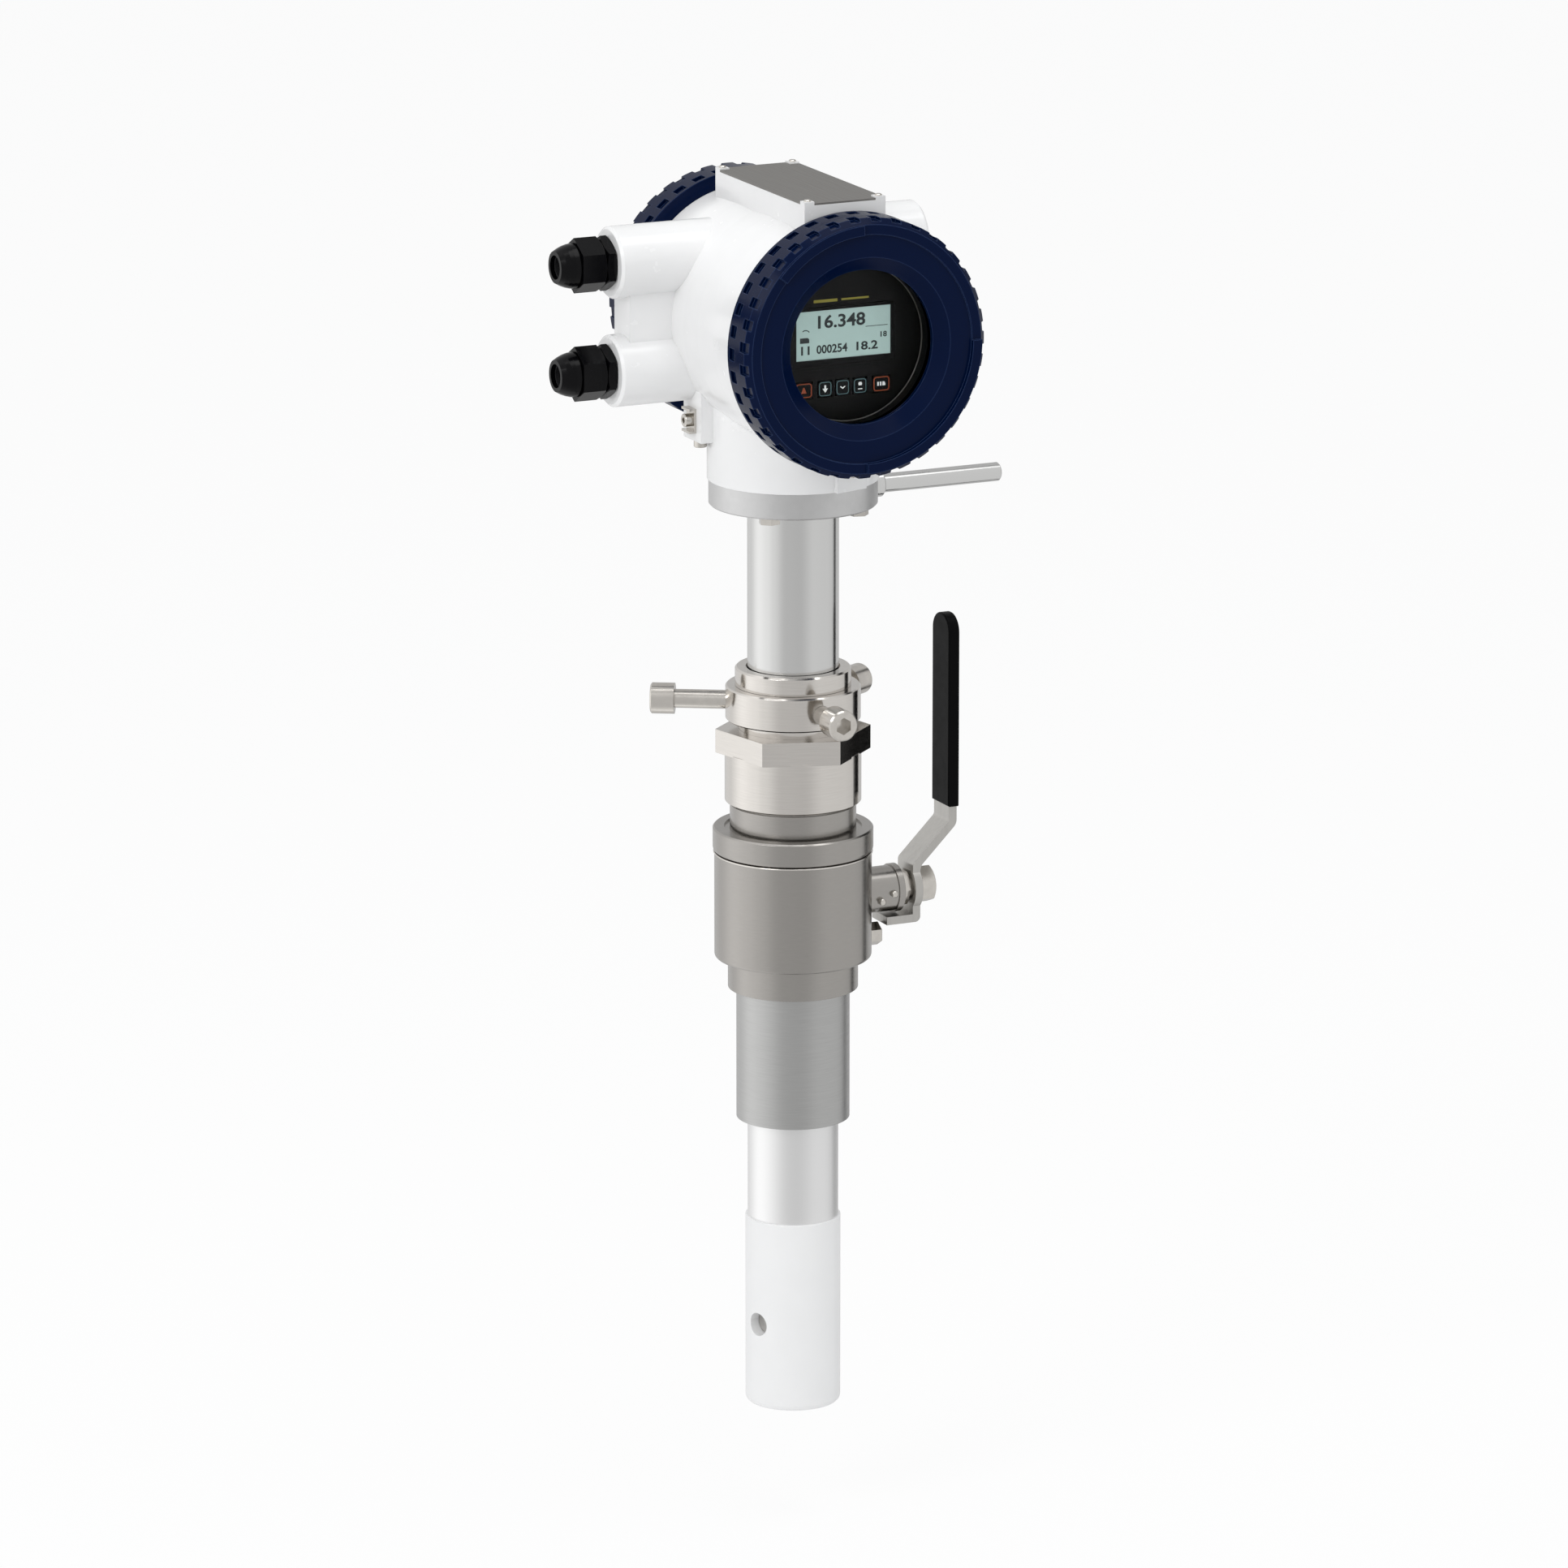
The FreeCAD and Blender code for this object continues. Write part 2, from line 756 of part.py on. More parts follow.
def stop_pins():
    stop_x = "bonnet_end - lip_len - stop_d"
    pins = []
    for across, up in ((stop_x, "ball_z"), (f"{stop_x} - 2 * stop_d", "ball_z - stop_d")):
        pin = turned("stop_pin", "Z", [
            ("0", "0"),
            ("0", "stop_d / 2"),
            ("stop_deep + stop_out - edge / 2", "stop_d / 2"),
            ("stop_deep + stop_out", "stop_d / 2 - edge / 2"),
            ("stop_deep + stop_out", "0"),
        ])
        place(pin, x=across, y="stop_deep - bonnet_d / 2", z=up, axis=(1, 0, 0), turn="90")
        pins.append(pin)
    group("stop_pins", pins)


def spindle_gland():
    start = "bonnet_end - gland_deep"
    bore = "spindle_d / 2 + run_gap"
    chamber = "gland_bore / 2 - fit_gap"
    packing = keep(turned("spindle_packing", "X", [
        (start, bore),
        (start, chamber),
        (f"{start} + gland_packing", chamber),
        (f"{start} + gland_packing", bore),
    ]))
    place(packing, z="ball_z")
    nut = keep(turned("spindle_gland_nut", "X", [
        (f"{start} + gland_packing", bore),
        (f"{start} + gland_packing", chamber),
        ("bonnet_end", chamber),
        ("bonnet_end", "gland_nut_af / 2"),
        ("bonnet_end + washer", "gland_nut_af / 2"),
        ("bonnet_end + washer", bore),
    ]))
    extrude(nut, "YZ_Plane", "bonnet_end", "gland_nut_len", outlines=[hexagon("gland_nut_af", "30")],
            circles=[("spindle_d + 2 * run_gap",)])
    place(nut, z="ball_z")


def double_flat(gap):
    """The round hole or tang with two flats, as the two slices outside it."""
    half = f"(lever_flats / 2 + {gap})"
    far = "spindle_d"
    return [
        rectangle(half, far, f"-{far}", far),
        rectangle(f"-{far}", f"-{half}", f"-{far}", far),
    ]


def valve_spindle():
    thread_end = "lever_out + lever_nut_len + spindle_end"
    body = keep(turned("valve_spindle", "X", [
        ("shoulder_x - drive_deep", "0"),
        ("shoulder_x - drive_deep", "drive_d / 2"),
        ("shoulder_x", "drive_d / 2"),
        ("shoulder_x", "shoulder_d / 2"),
        ("shoulder_x + shoulder_len", "shoulder_d / 2"),
        ("shoulder_x + shoulder_len", "spindle_d / 2"),
        ("lever_out", "spindle_d / 2"),
        ("lever_out", "spindle_thread / 2"),
        (f"{thread_end} - edge", "spindle_thread / 2"),
        (thread_end, "spindle_thread / 2 - edge"),
        (thread_end, "0"),
    ]))
    extrude(body, "YZ_Plane", "lever_x", "lever_thick", outlines=double_flat("0"), cut=True, back=True)
    place(body, z="ball_z")


def lever_handle():
    low = "(lip_d / 2 + tab_gap)"
    first = "lever_first_bend"
    second = "(lever_first_bend + lever_step)"
    inset = "lever_thick * tan(22.5)"
    body = new_body("lever_handle")
    extrude(body, "XZ_Plane", "-lever_wide / 2", "lever_wide", outlines=[[
        ("lever_out - tab_len", f"-{low} - lever_thick"),
        ("lever_out", f"-{low} - lever_thick"),
        ("lever_out", f"{first} - {inset}"),
        ("grip_x + lever_thick", f"{second} - {inset}"),
        ("grip_x + lever_thick", "lever_top"),
        ("grip_x", "lever_top"),
        ("grip_x", second),
        ("lever_x", first),
        ("lever_x", f"-{low}"),
        ("lever_out - tab_len", f"-{low}"),
    ]])
    tight = [("grip_x", second), ("lever_x", first), ("lever_out", f"-{low} - lever_thick")]
    wide = [("lever_out", f"{first} - {inset}"), ("grip_x + lever_thick", f"{second} - {inset}")]

    def on(edge, corners):
        return any(at(edge, "X", x) and at(edge, "Z", z) for x, z in corners)

    def tip(edge):
        side = at(edge, "Y", "lever_wide / 2") or at(edge, "Y", "-lever_wide / 2")
        return side and at(edge, "Z", "lever_top")

    soften(body, "lever_bend", lambda edge: on(edge, tight))
    soften(body, "lever_bend + lever_outer", lambda edge: on(edge, wide))
    soften(body, "(lever_wide - lever_tip) / 2", tip)
    extrude(body, "YZ_Plane", "lever_x", "lever_thick", circles=[("lever_eye",)])
    slices = "lever_flats / 2 + fit_gap"
    reach = "spindle_d / 2 + fit_gap"
    rise = f"sqrt(({reach}) ^ 2 - ({slices}) ^ 2)"
    hole = [
        (slices, f"-{rise}"),
        (slices, rise, reach),
        (f"-({slices})", rise),
        (f"-({slices})", f"-{rise}", reach),
    ]
    extrude(body, "YZ_Plane", "lever_out + 1", "lever_thick + 2", outlines=[hole], cut=True)
    place(body, z="ball_z")
    keep(body)


def lever_grip():
    def shape(half, low, top):
        bend = f"({half} - lever_tip / 2)"
        return [
            (f"-({half})", low),
            (half, low),
            (half, f"{top} - {bend}", bend),
            ("lever_tip / 2", top),
            ("-lever_tip / 2", top, bend),
            (f"-({half})", f"{top} - {bend}"),
        ]

    body = keep(new_body("lever_grip"))
    half = "lever_wide / 2 + grip_wall"
    extrude(body, "YZ_Plane", "grip_x - grip_wall", "lever_thick + 2 * grip_wall",
            outlines=[shape(half, "grip_low", "lever_top + grip_top")])
    sides = ("grip_x - grip_wall", "grip_x + lever_thick + grip_wall")
    soften(body, "grip_round", lambda edge: any(at(edge, "X", side) for side in sides))
    extrude(body, "YZ_Plane", "grip_x + lever_thick + fit_gap", "lever_thick + 2 * fit_gap",
            outlines=[shape("lever_wide / 2 + fit_gap", "grip_low - 1", "lever_top + fit_gap")], cut=True)
    place(body, z="ball_z")


def bevel_nut(body, axis, near, far, across_flats):
    """Turns the corners of a hexagon down at both ends."""
    cuts = []
    for end, side in ((near, "+"), (far, "-")):
        cuts.append([
            (end, f"{across_flats} / 2"),
            (end, f"{across_flats} * 0.7"),
            (f"{end} {side} {across_flats} * 0.115", f"{across_flats} * 0.7"),
        ])
    spin(body, axis, cuts, "PartDesign::Groove")


def lever_nut():
    body = keep(new_body("lever_nut"))
    extrude(body, "YZ_Plane", "lever_out", "lever_nut_len", outlines=[hexagon("lever_nut_af", "8")],
            circles=[("spindle_thread + 2 * fit_gap",)])
    bevel_nut(body, "X", "lever_out", "lever_out + lever_nut_len", "lever_nut_af")
    place(body, z="ball_z")


def outlet_nipple():
    inner = "nipple_d / 2 - nipple_wall"
    keep(turned("outlet_nipple", "Z", [
        ("cap_top - cap_socket", inner),
        ("cap_top - cap_socket", "nipple_d / 2"),
        ("barrel_z - relief_len", "nipple_d / 2"),
        ("barrel_z - relief_len", "nipple_d / 2 - relief_deep"),
        ("barrel_z", "nipple_d / 2 - relief_deep"),
        ("barrel_z", "nipple_d / 2"),
        ("barrel_z + barrel_socket", "nipple_d / 2"),
        ("barrel_z + barrel_socket", inner),
    ]))


def fitting_body():
    socket = "nipple_d / 2 + fit_gap"
    body = keep(turned("fitting_body", "Z", [
        ("barrel_z", socket),
        ("barrel_z", "barrel_d / 2 - edge"),
        ("barrel_z + edge", "barrel_d / 2"),
        ("hex_z + edge", "barrel_d / 2"),
        ("hex_z + edge", "hex_af / 2 - edge"),
        ("hex_top", "hex_af / 2 - edge"),
        ("hex_top", "packing_d / 2"),
        ("packing_z", "packing_d / 2"),
        ("packing_z", "bore_d / 2"),
        ("barrel_z + barrel_socket", "bore_d / 2"),
        ("barrel_z + barrel_socket", socket),
    ]))
    extrude(body, "XY_Plane", "hex_z", "hex_len", outlines=[hexagon("hex_af", "hex_turn")],
            circles=[("hex_af - 4",)])


def packing_rings():
    rings = []
    for index in range(3):
        low = f"packing_z + {index} * packing_ring + packing_gap"
        rings.append([
            (low, "stem_d / 2 + run_gap"),
            (low, "packing_d / 2 - fit_gap"),
            (f"{low} + packing_ring - packing_gap", "packing_d / 2 - fit_gap"),
            (f"{low} + packing_ring - packing_gap", "stem_d / 2 + run_gap"),
        ])
    keep(turned("packing_rings", "Z", *rings))


def clamp_collar():
    follower = "packing_d / 2 - run_gap"
    bore = "stem_d / 2 + collar_gap"
    seat = "guide_seat_d / 2 + run_gap"
    body = keep(turned("clamp_collar", "Z", [
        ("follower_z", bore),
        ("follower_z", follower),
        ("collar_z", follower),
        ("collar_z", "collar_d / 2 - edge"),
        ("collar_z + edge", "collar_d / 2"),
        ("collar_top - edge", "collar_d / 2"),
        ("collar_top", "collar_d / 2 - edge"),
        ("collar_top", seat),
        ("collar_top - guide_spigot", seat),
        ("collar_top - guide_spigot", bore),
    ]))
    hole = extrude(body, "XZ_Plane", "collar_d / 2 + 1", "collar_d / 2 + 1 - stem_d / 2 + 2",
                   circles=[("clamp_d + 2 * run_gap", "0", "clamp_z")], cut=True)
    repeat_round(body, [hole], "Z_Axis", 3)


def guide_ring():
    bore = "stem_d / 2 + run_gap"
    low = "collar_top - guide_spigot + turn_gap"
    keep(turned("guide_ring", "Z", [
        (low, bore),
        (low, "guide_seat_d / 2"),
        ("collar_top + turn_gap", "guide_seat_d / 2"),
        ("collar_top + turn_gap", "guide_d / 2"),
        ("guide_top - guide_edge", "guide_d / 2"),
        ("guide_top", "guide_d / 2 - guide_edge"),
        ("guide_top", "stem_d / 2 + mouth_gap"),
        ("guide_top - mouth_deep", "stem_d / 2 + mouth_gap"),
        ("guide_top - mouth_deep", bore),
    ]))


def clamp_screw(side, angle, shank):
    tip = "stem_d / 2 + pad_gap"
    pad = keep(turned(f"clamp_pad_{side}", "X", [
        (tip, "0"),
        (tip, "clamp_d / 2 - edge"),
        (f"{tip} + edge", "clamp_d / 2"),
        (f"{tip} + pad_len", "clamp_d / 2"),
        (f"{tip} + pad_len", "0"),
    ]))
    start = f"{tip} + pad_len + turn_gap"
    under = f"{start} + {shank}"
    end = f"{under} + clamp_head_len"
    screw = keep(turned(f"clamp_screw_{side}", "X", [
        (start, "0"),
        (start, "clamp_d / 2 - edge"),
        (f"{start} + edge", "clamp_d / 2"),
        (under, "clamp_d / 2"),
        (under, "clamp_head_d / 2"),
        (f"{end} - edge", "clamp_head_d / 2"),
        (end, "clamp_head_d / 2 - edge"),
        (end, "0"),
    ]))
    extrude(screw, "YZ_Plane", end, "clamp_key_deep", outlines=[hexagon("clamp_key")], cut=True)
    for item in (pad, screw):
        place(item, z="clamp_z", turn=angle)


def stem_tube():
    inner = "stem_d / 2 - stem_wall"
    low = "sleeve_top - spigot_len"
    keep(turned("stem_tube", "Z", [
        (low, "spigot_d / 2 - spigot_wall"),
        (low, "spigot_d / 2"),
        ("sleeve_top", "spigot_d / 2"),
        ("sleeve_top", "stem_d / 2"),
        ("neck_z", "stem_d / 2"),
        ("neck_z", inner),
        ("sleeve_top + stem_wall", inner),
        ("sleeve_top + stem_wall", "spigot_d / 2 - spigot_wall"),
    ]))


def sensor_sleeve():
    socket = "spigot_d / 2 + fit_gap"
    body = keep(turned("sensor_sleeve", "Z", [
        ("sleeve_bottom", "0"),
        *rounded("sleeve_bottom", "sleeve_d / 2", "sleeve_round"),
        ("sleeve_top - edge / 2", "sleeve_d / 2"),
        ("sleeve_top", "sleeve_d / 2 - edge / 2"),
        ("sleeve_top", socket),
        ("sleeve_top - spigot_len", socket),
        ("sleeve_top - spigot_len", "coil_bore / 2"),
        ("sleeve_bottom + sleeve_floor", "coil_bore / 2"),
        ("sleeve_bottom + sleeve_floor", "0"),
    ]))
    port = extrude(body, "YZ_Plane", "sleeve_d / 2 + 1", "port_deep + 1",
                   circles=[("port_d", "0", "port_z")], cut=True)
    repeat_round(body, [port], "Z_Axis", 2)
    extrude(body, "YZ_Plane", "sleeve_d / 2 + 1", "sleeve_d + 2",
            circles=[("electrode_d + 2 * fit_gap", "0", "port_z")], cut=True)
    place(body, turn="port_turn")


def sensor_electrodes():
    floor = "sleeve_d / 2 - port_deep"
    electrodes = []
    for turn in ("port_turn", "port_turn + 180"):
        stud = turned("electrode", "X", [
            ("electrode_in", "0"),
            ("electrode_in", "electrode_d / 2"),
            (floor, "electrode_d / 2"),
            (floor, "port_d / 2 - electrode_gap"),
            (f"{floor} + electrode_head", "port_d / 2 - electrode_gap"),
            (f"{floor} + electrode_head", "0"),
        ])
        place(stud, z="port_z", turn=turn)
        electrodes.append(stud)
    group("sensor_electrodes", electrodes)


def field_coil():
    low = "sleeve_bottom + sleeve_floor"
    wide = "coil_bore / 2 - fit_gap"
    keep(turned("field_coil", "Z", [
        (low, "0"),
        (low, wide),
        (f"{low} + coil_flange", wide),
        (f"{low} + coil_flange", "coil_d / 2"),
        (f"{low} + coil_len - coil_flange", "coil_d / 2"),
        (f"{low} + coil_len - coil_flange", wide),
        (f"{low} + coil_len", wide),
        (f"{low} + coil_len", "0"),
    ]))


def neck_flange():
    bore = "stem_d / 2 + fit_gap"
    body = keep(turned("neck_flange", "Z", [
        ("flange_z", bore),
        ("flange_z", "flange_d / 2 - edge"),
        ("flange_z + edge", "flange_d / 2"),
        ("neck_z", "flange_d / 2"),
        ("neck_z", bore),
    ]))
    reach = "bolt_circle / 2 * cos(45)"
    hole = extrude(body, "XY_Plane", "neck_z + 1", "flange_len + 2",
                   circles=[("bolt_d + 6 * fit_gap", reach, reach)], cut=True)
    repeat_round(body, [hole], "Z_Axis", 4)
    extrude(body, "YZ_Plane", "flange_d / 2 + 1", "rod_seat + 1",
            circles=[("rod_d + 2 * fit_gap", "0", "rod_z")], cut=True)


def flange_bolts():
    bolts = []
    for turn in ("45", "135", "225", "315"):
        bolt = new_body("flange_bolt")
        extrude(bolt, "XY_Plane", "-bolt_head", "bolt_head",
                outlines=[hexagon("bolt_af", "0", "bolt_circle / 2")])
        extrude(bolt, "XY_Plane", "0", "flange_len + bolt_deep",
                circles=[("bolt_d", "bolt_circle / 2")])
        place(bolt, z="flange_z", turn=turn)
        bolts.append(bolt)
    group("flange_bolts", bolts)


def orientation_rod():
    seat = "flange_d / 2 - rod_seat"
    face = "flange_d / 2"
    body = keep(turned("orientation_rod", "X", [
        (seat, "0"),
        (seat, "rod_d / 2"),
        (face, "rod_d / 2"),
        (face, "rod_collar_d / 2"),
        (f"{face} + rod_collar_len - edge", "rod_collar_d / 2"),
        (f"{face} + rod_collar_len", "rod_collar_d / 2 - edge"),
        (f"{face} + rod_collar_len", "rod_d / 2"),
        ("rod_reach - edge", "rod_d / 2"),
        ("rod_reach", "rod_d / 2 - edge"),
        ("rod_reach", "0"),
    ]))
    place(body, z="rod_z")


def chamber(side, length):
    """The space behind one cover: seal seat, threaded mouth and the room inside."""

    def y(text):
        return f"-({text})" if side < 0 else text

    return [
        (y(f"{length} + 1"), "0"),
        (y(f"{length} + 1"), "seal_d / 2 + seal_gap"),
        (y(f"{length} - seal_deep"), "seal_d / 2 + seal_gap"),
        (y(f"{length} - seal_deep"), "thread_d / 2"),
        (y(f"{length} - thread_run"), "thread_d / 2"),
        (y(f"{length} - thread_run"), "chamber_d / 2"),
        (y("wall_half"), "chamber_d / 2"),
        (y("wall_half"), "0"),
    ]


def housing():
    body = keep(new_body("housing"))
    middle = ("0", "shell_d / 2")
    spin(body, "Y", [[
        ("-front_len", "0"),
        ("-front_len", "front_d / 2"),
        ("-front_len + front_ring", "front_d / 2"),
        *bulge(("-front_len + front_ring", "front_d / 2 + ring_step"), middle, "shell_curve", 3),
        *bulge(middle, ("rear_len - front_ring", "rear_d / 2 + ring_step"), "shell_curve", 3)[1:],
        ("rear_len - front_ring", "rear_d / 2"),
        ("rear_len", "rear_d / 2"),
        ("rear_len", "0"),
    ]])
    extrude(body, "XY_Plane", "-head_up", "head_up - chamber_d / 4", circles=[("head_neck_d",)])
    extrude(body, "XY_Plane", "chamber_d / 4", "pad_high - chamber_d / 4",
            outlines=[rectangle("-pad_wide / 2", "pad_wide / 2", "-pad_front", "pad_rear")])
    bosses = [("boss_d", "boss_y", "boss_upper"), ("boss_d", "boss_y", "-boss_lower")]
    web = rectangle("boss_y - web_wide / 2", "boss_y + web_wide / 2", "-boss_lower", "boss_upper")
    for reach, back in (("boss_left", True), ("boss_right", False)):
        extrude(body, "YZ_Plane", "0", f"{reach} - web_back", outlines=[web], back=back)
        for boss in bosses:
            extrude(body, "YZ_Plane", "0", reach, circles=[boss], back=back)
    extrude(body, "XY_Plane", "-lug_low", "lug_low - lug_high",
            outlines=[rectangle("-lug_out", "-lug_in", "lug_y - lug_wide / 2", "lug_y + lug_wide / 2")])
    extrude(body, "XY_Plane", "-head_up", "flat_high", outlines=[neck_flat()])
    ends = ("-boss_left", "boss_right")
    soften(body, "boss_edge", lambda edge: any(at(edge, "X", end) for end in ends), "PartDesign::Chamfer")
    half = "plate_boss / 2"
    squares = [rectangle(f"{x} - {half}", f"{x} + {half}", f"{y} - {half}", f"{y} + {half}")
               for x, y in plate_corners()]
    extrude(body, "XY_Plane", "pad_high", "plate_boss_high", outlines=squares)
    spin(body, "Y", [chamber(-1, "front_len"), chamber(1, "rear_len")], "PartDesign::Groove")
    extrude(body, "XY_Plane", "-head_up - 1", "head_up - chamber_d / 2 + 9",
            circles=[("neck_bore",)], cut=True, back=True)
    entries = [("entry_d + 2 * fit_gap", "boss_y", "boss_upper"),
               ("entry_d + 2 * fit_gap", "boss_y", "-boss_lower")]
    for entry in entries:
        extrude(body, "YZ_Plane", "-boss_left - 1", "boss_left + 1 - entry_reach",
                circles=[entry], cut=True, back=True)
        extrude(body, "YZ_Plane", "boss_right + 1", "boss_right + 1 - entry_reach",
                circles=[entry], cut=True)
    reach = "bolt_circle / 2 * cos(45)"
    bolt = extrude(body, "XY_Plane", "-head_up - 1", "bolt_deep + 2",
                   circles=[("bolt_d + 2 * fit_gap", reach, reach)], cut=True, back=True)
    repeat_round(body, [bolt], "Z_Axis", 4)
    extrude(body, "XY_Plane", "pad_high + plate_boss_high", "plate_boss_high + plate_screw_deep + 1",
            circles=[("plate_screw_d + 2 * fit_gap", *spot) for spot in plate_corners()], cut=True)
    hole = "screw_d + 2 * fit_gap"
    extrude(body, "XY_Plane", "-lug_low - 1", "screw_deep + 2", cut=True, back=True,
            circles=[(hole, "lock_inset - lug_out", "lug_y")])
    extrude(body, "YZ_Plane", "-lug_out - 1", "screw_deep + 2", cut=True, back=True,
            circles=[(hole, "lug_y", "-lug_low + lug_screw_up")])
    place(body, z="head_z")


def neck_flat():
    """The raised flat on the neck for the set screw, as seen from above."""
    corners = []
    low = "(head_neck_d / 2 - flat_root)"
    high = "(head_neck_d / 2 + flat_out)"
    for out, across in ((low, "-"), (high, "-"), (high, "+"), (low, "+")):
        x = f"{out} * cos(flat_turn) {across} flat_wide / 2 * sin(flat_turn)"
        y = f"-{out} * sin(flat_turn) {across} flat_wide / 2 * cos(flat_turn)"
        corners.append((x, y))
    return corners


def plate_corners():
    """Middles of the four square bosses at the corners of the nameplate's seat."""
    across = "(pad_wide - plate_boss) / 2"
    ends = ("-pad_front + plate_boss / 2", "pad_rear - plate_boss / 2")
    return [(x, y) for x in (f"-{across}", across) for y in ends]


def nameplate():
    plate = keep(new_body("nameplate"))
    notch = "(plate_boss + fit_gap)"
    wide = "pad_wide / 2"
    narrow = f"pad_wide / 2 - {notch}"
    outline = [
        (f"-({narrow})", "-pad_front"),
        (narrow, "-pad_front"),
        (narrow, f"-pad_front + {notch}"),
        (wide, f"-pad_front + {notch}"),
        (wide, f"pad_rear - {notch}"),
        (narrow, f"pad_rear - {notch}"),
        (narrow, "pad_rear"),
        (f"-({narrow})", "pad_rear"),
        (f"-({narrow})", f"pad_rear - {notch}"),
        (f"-{wide}", f"pad_rear - {notch}"),
        (f"-{wide}", f"-pad_front + {notch}"),
        (f"-({narrow})", f"-pad_front + {notch}"),
    ]
    extrude(plate, "XY_Plane", "pad_high", "plate_thick", outlines=[outline])
    place(plate, z="head_z")
    screws = []
    for x, y in plate_corners():
        screw = turned("plate_screw", "Z", [
            ("-plate_boss_high - plate_screw_deep", "0"),
            ("-plate_boss_high - plate_screw_deep", "plate_screw_d / 2"),
            ("0", "plate_screw_d / 2"),
            ("0", "plate_screw_head / 2"),
            ("plate_screw_high / 2", "plate_screw_head / 2"),
            ("plate_screw_high", "(plate_screw_head - plate_screw_high) / 2"),
            ("plate_screw_high", "0"),
        ])
        place(screw, x=x, y=y, z="head_z + pad_high + plate_boss_high")
        screws.append(screw)
    group("nameplate_screws", screws)


def socket_screw(label):
    screw = turned(label, "Z", [
        ("-screw_deep", "0"),
        ("-screw_deep", "screw_d / 2"),
        ("0", "screw_d / 2"),
        ("0", "screw_head_d / 2"),
        ("screw_head - edge / 2", "screw_head_d / 2"),
        ("screw_head", "screw_head_d / 2 - edge / 2"),
        ("screw_head", "0"),
    ])
    extrude(screw, "XY_Plane", "screw_head", "screw_key_deep", outlines=[hexagon("screw_key")], cut=True)
    return screw


def lug_fittings():
    screw_z = "head_z - lug_low + lug_screw_up"
    lock = socket_screw("cover_lock_screw")
    place(lock, x="lock_inset - lug_out", y="lug_y", z="head_z - lug_low", axis=(1, 0, 0), turn="180")
    earth = socket_screw("earth_screw")
    place(earth, x="-lug_out - clip_thick", y="lug_y", z=screw_z, axis=(0, -1, 0), turn="90")
    group("socket_screws", [lock, earth])
    clip = keep(new_body("earth_clip"))
    half = "clip_tall / 2"
    extrude(clip, "XZ_Plane", "-clip_wide / 2", "clip_wide", outlines=[[
        ("0", f"-{half}"),
        ("0", half),
        ("-clip_lip", half),
        ("-clip_lip", f"{half} - clip_thick"),
        ("-clip_thick", f"{half} - clip_thick"),
        ("-clip_thick", f"-{half} + clip_thick"),
        ("-clip_lip", f"-{half} + clip_thick"),
        ("-clip_lip", f"-{half}"),
    ]])
    extrude(clip, "YZ_Plane", "1", "clip_thick + 2", circles=[("screw_d + 2 * fit_gap",)], cut=True)
    place(clip, x="-lug_out", y="lug_y", z=screw_z)


def cover_place(item, side, length):
    """Seats an item that is drawn along +Z on the front or the rear of the housing."""
    sign = "-" if side < 0 else ""
    place(item, y=f"{sign}({length} + cover_gap)", z="head_z", axis=(-side, 0, 0), turn="90")


def cover_rim(body):
    """A row of rectangular notches round the rim and a staggered row of slots open to the face."""
    top = "cover_d / 2 + 1"
    notch = extrude(body, "YZ_Plane", top, "notch_deep + 1", cut=True,
                    outlines=[rectangle("-notch_wide / 2", "notch_wide / 2", "notch_start",
                                        "notch_start + notch_long")])
    repeat_round(body, [notch], "Z_Axis", "notch_count")
    half_pitch = "180 / notch_count"
    reach = "(cover_d / 2 - slot_deep)"
    far = "(cover_d / 2 + 1)"

    def spot(out, left, right):
        return (f"{out} * cos({half_pitch}) {left} slot_wide / 2 * sin({half_pitch})",
                f"{out} * sin({half_pitch}) {right} slot_wide / 2 * cos({half_pitch})")

    corners = [spot(reach, "-", "+"), spot(far, "-", "+"), spot(far, "+", "-"), spot(reach, "+", "-")]
    slot = extrude(body, "XY_Plane", "slot_start", "cover_deep", cut=True, back=True, outlines=[corners])
    repeat_round(body, [slot], "Z_Axis", "notch_count")


def raised_band(body, start, end):
    """A stretch of the face's outer band that stands higher, between two angles."""
    inner = "band_d / 2"
    outer = "cover_face_d / 2"

    def spot(radius, angle, *bend):
        return (f"{radius} * cos({angle})", f"{radius} * sin({angle})", *bend)

    extrude(body, "XY_Plane", "cover_deep - band_sink", "band_sink + band_raise", outlines=[[
        spot(inner, start),
        spot(outer, start, outer),
        spot(outer, end),
        spot(inner, end, f"-{inner}"),
    ]])


def cover_outline(face):
    """Half section of a cover; face gives the points inside the outer band."""
    return [
        ("-cover_spigot", "cover_bore / 2"),
        ("-cover_spigot", "thread_d / 2 - run_gap - edge"),
        ("-cover_spigot + edge", "thread_d / 2 - run_gap"),
        ("0", "thread_d / 2 - run_gap"),
        ("0", "cover_d / 2"),
        ("cover_deep - cover_cone", "cover_d / 2"),
        ("cover_deep", "cover_face_d / 2"),
        ("cover_deep", "band_d / 2"),
        ("cover_deep - band_high", "band_d / 2"),
        *face,
    ]


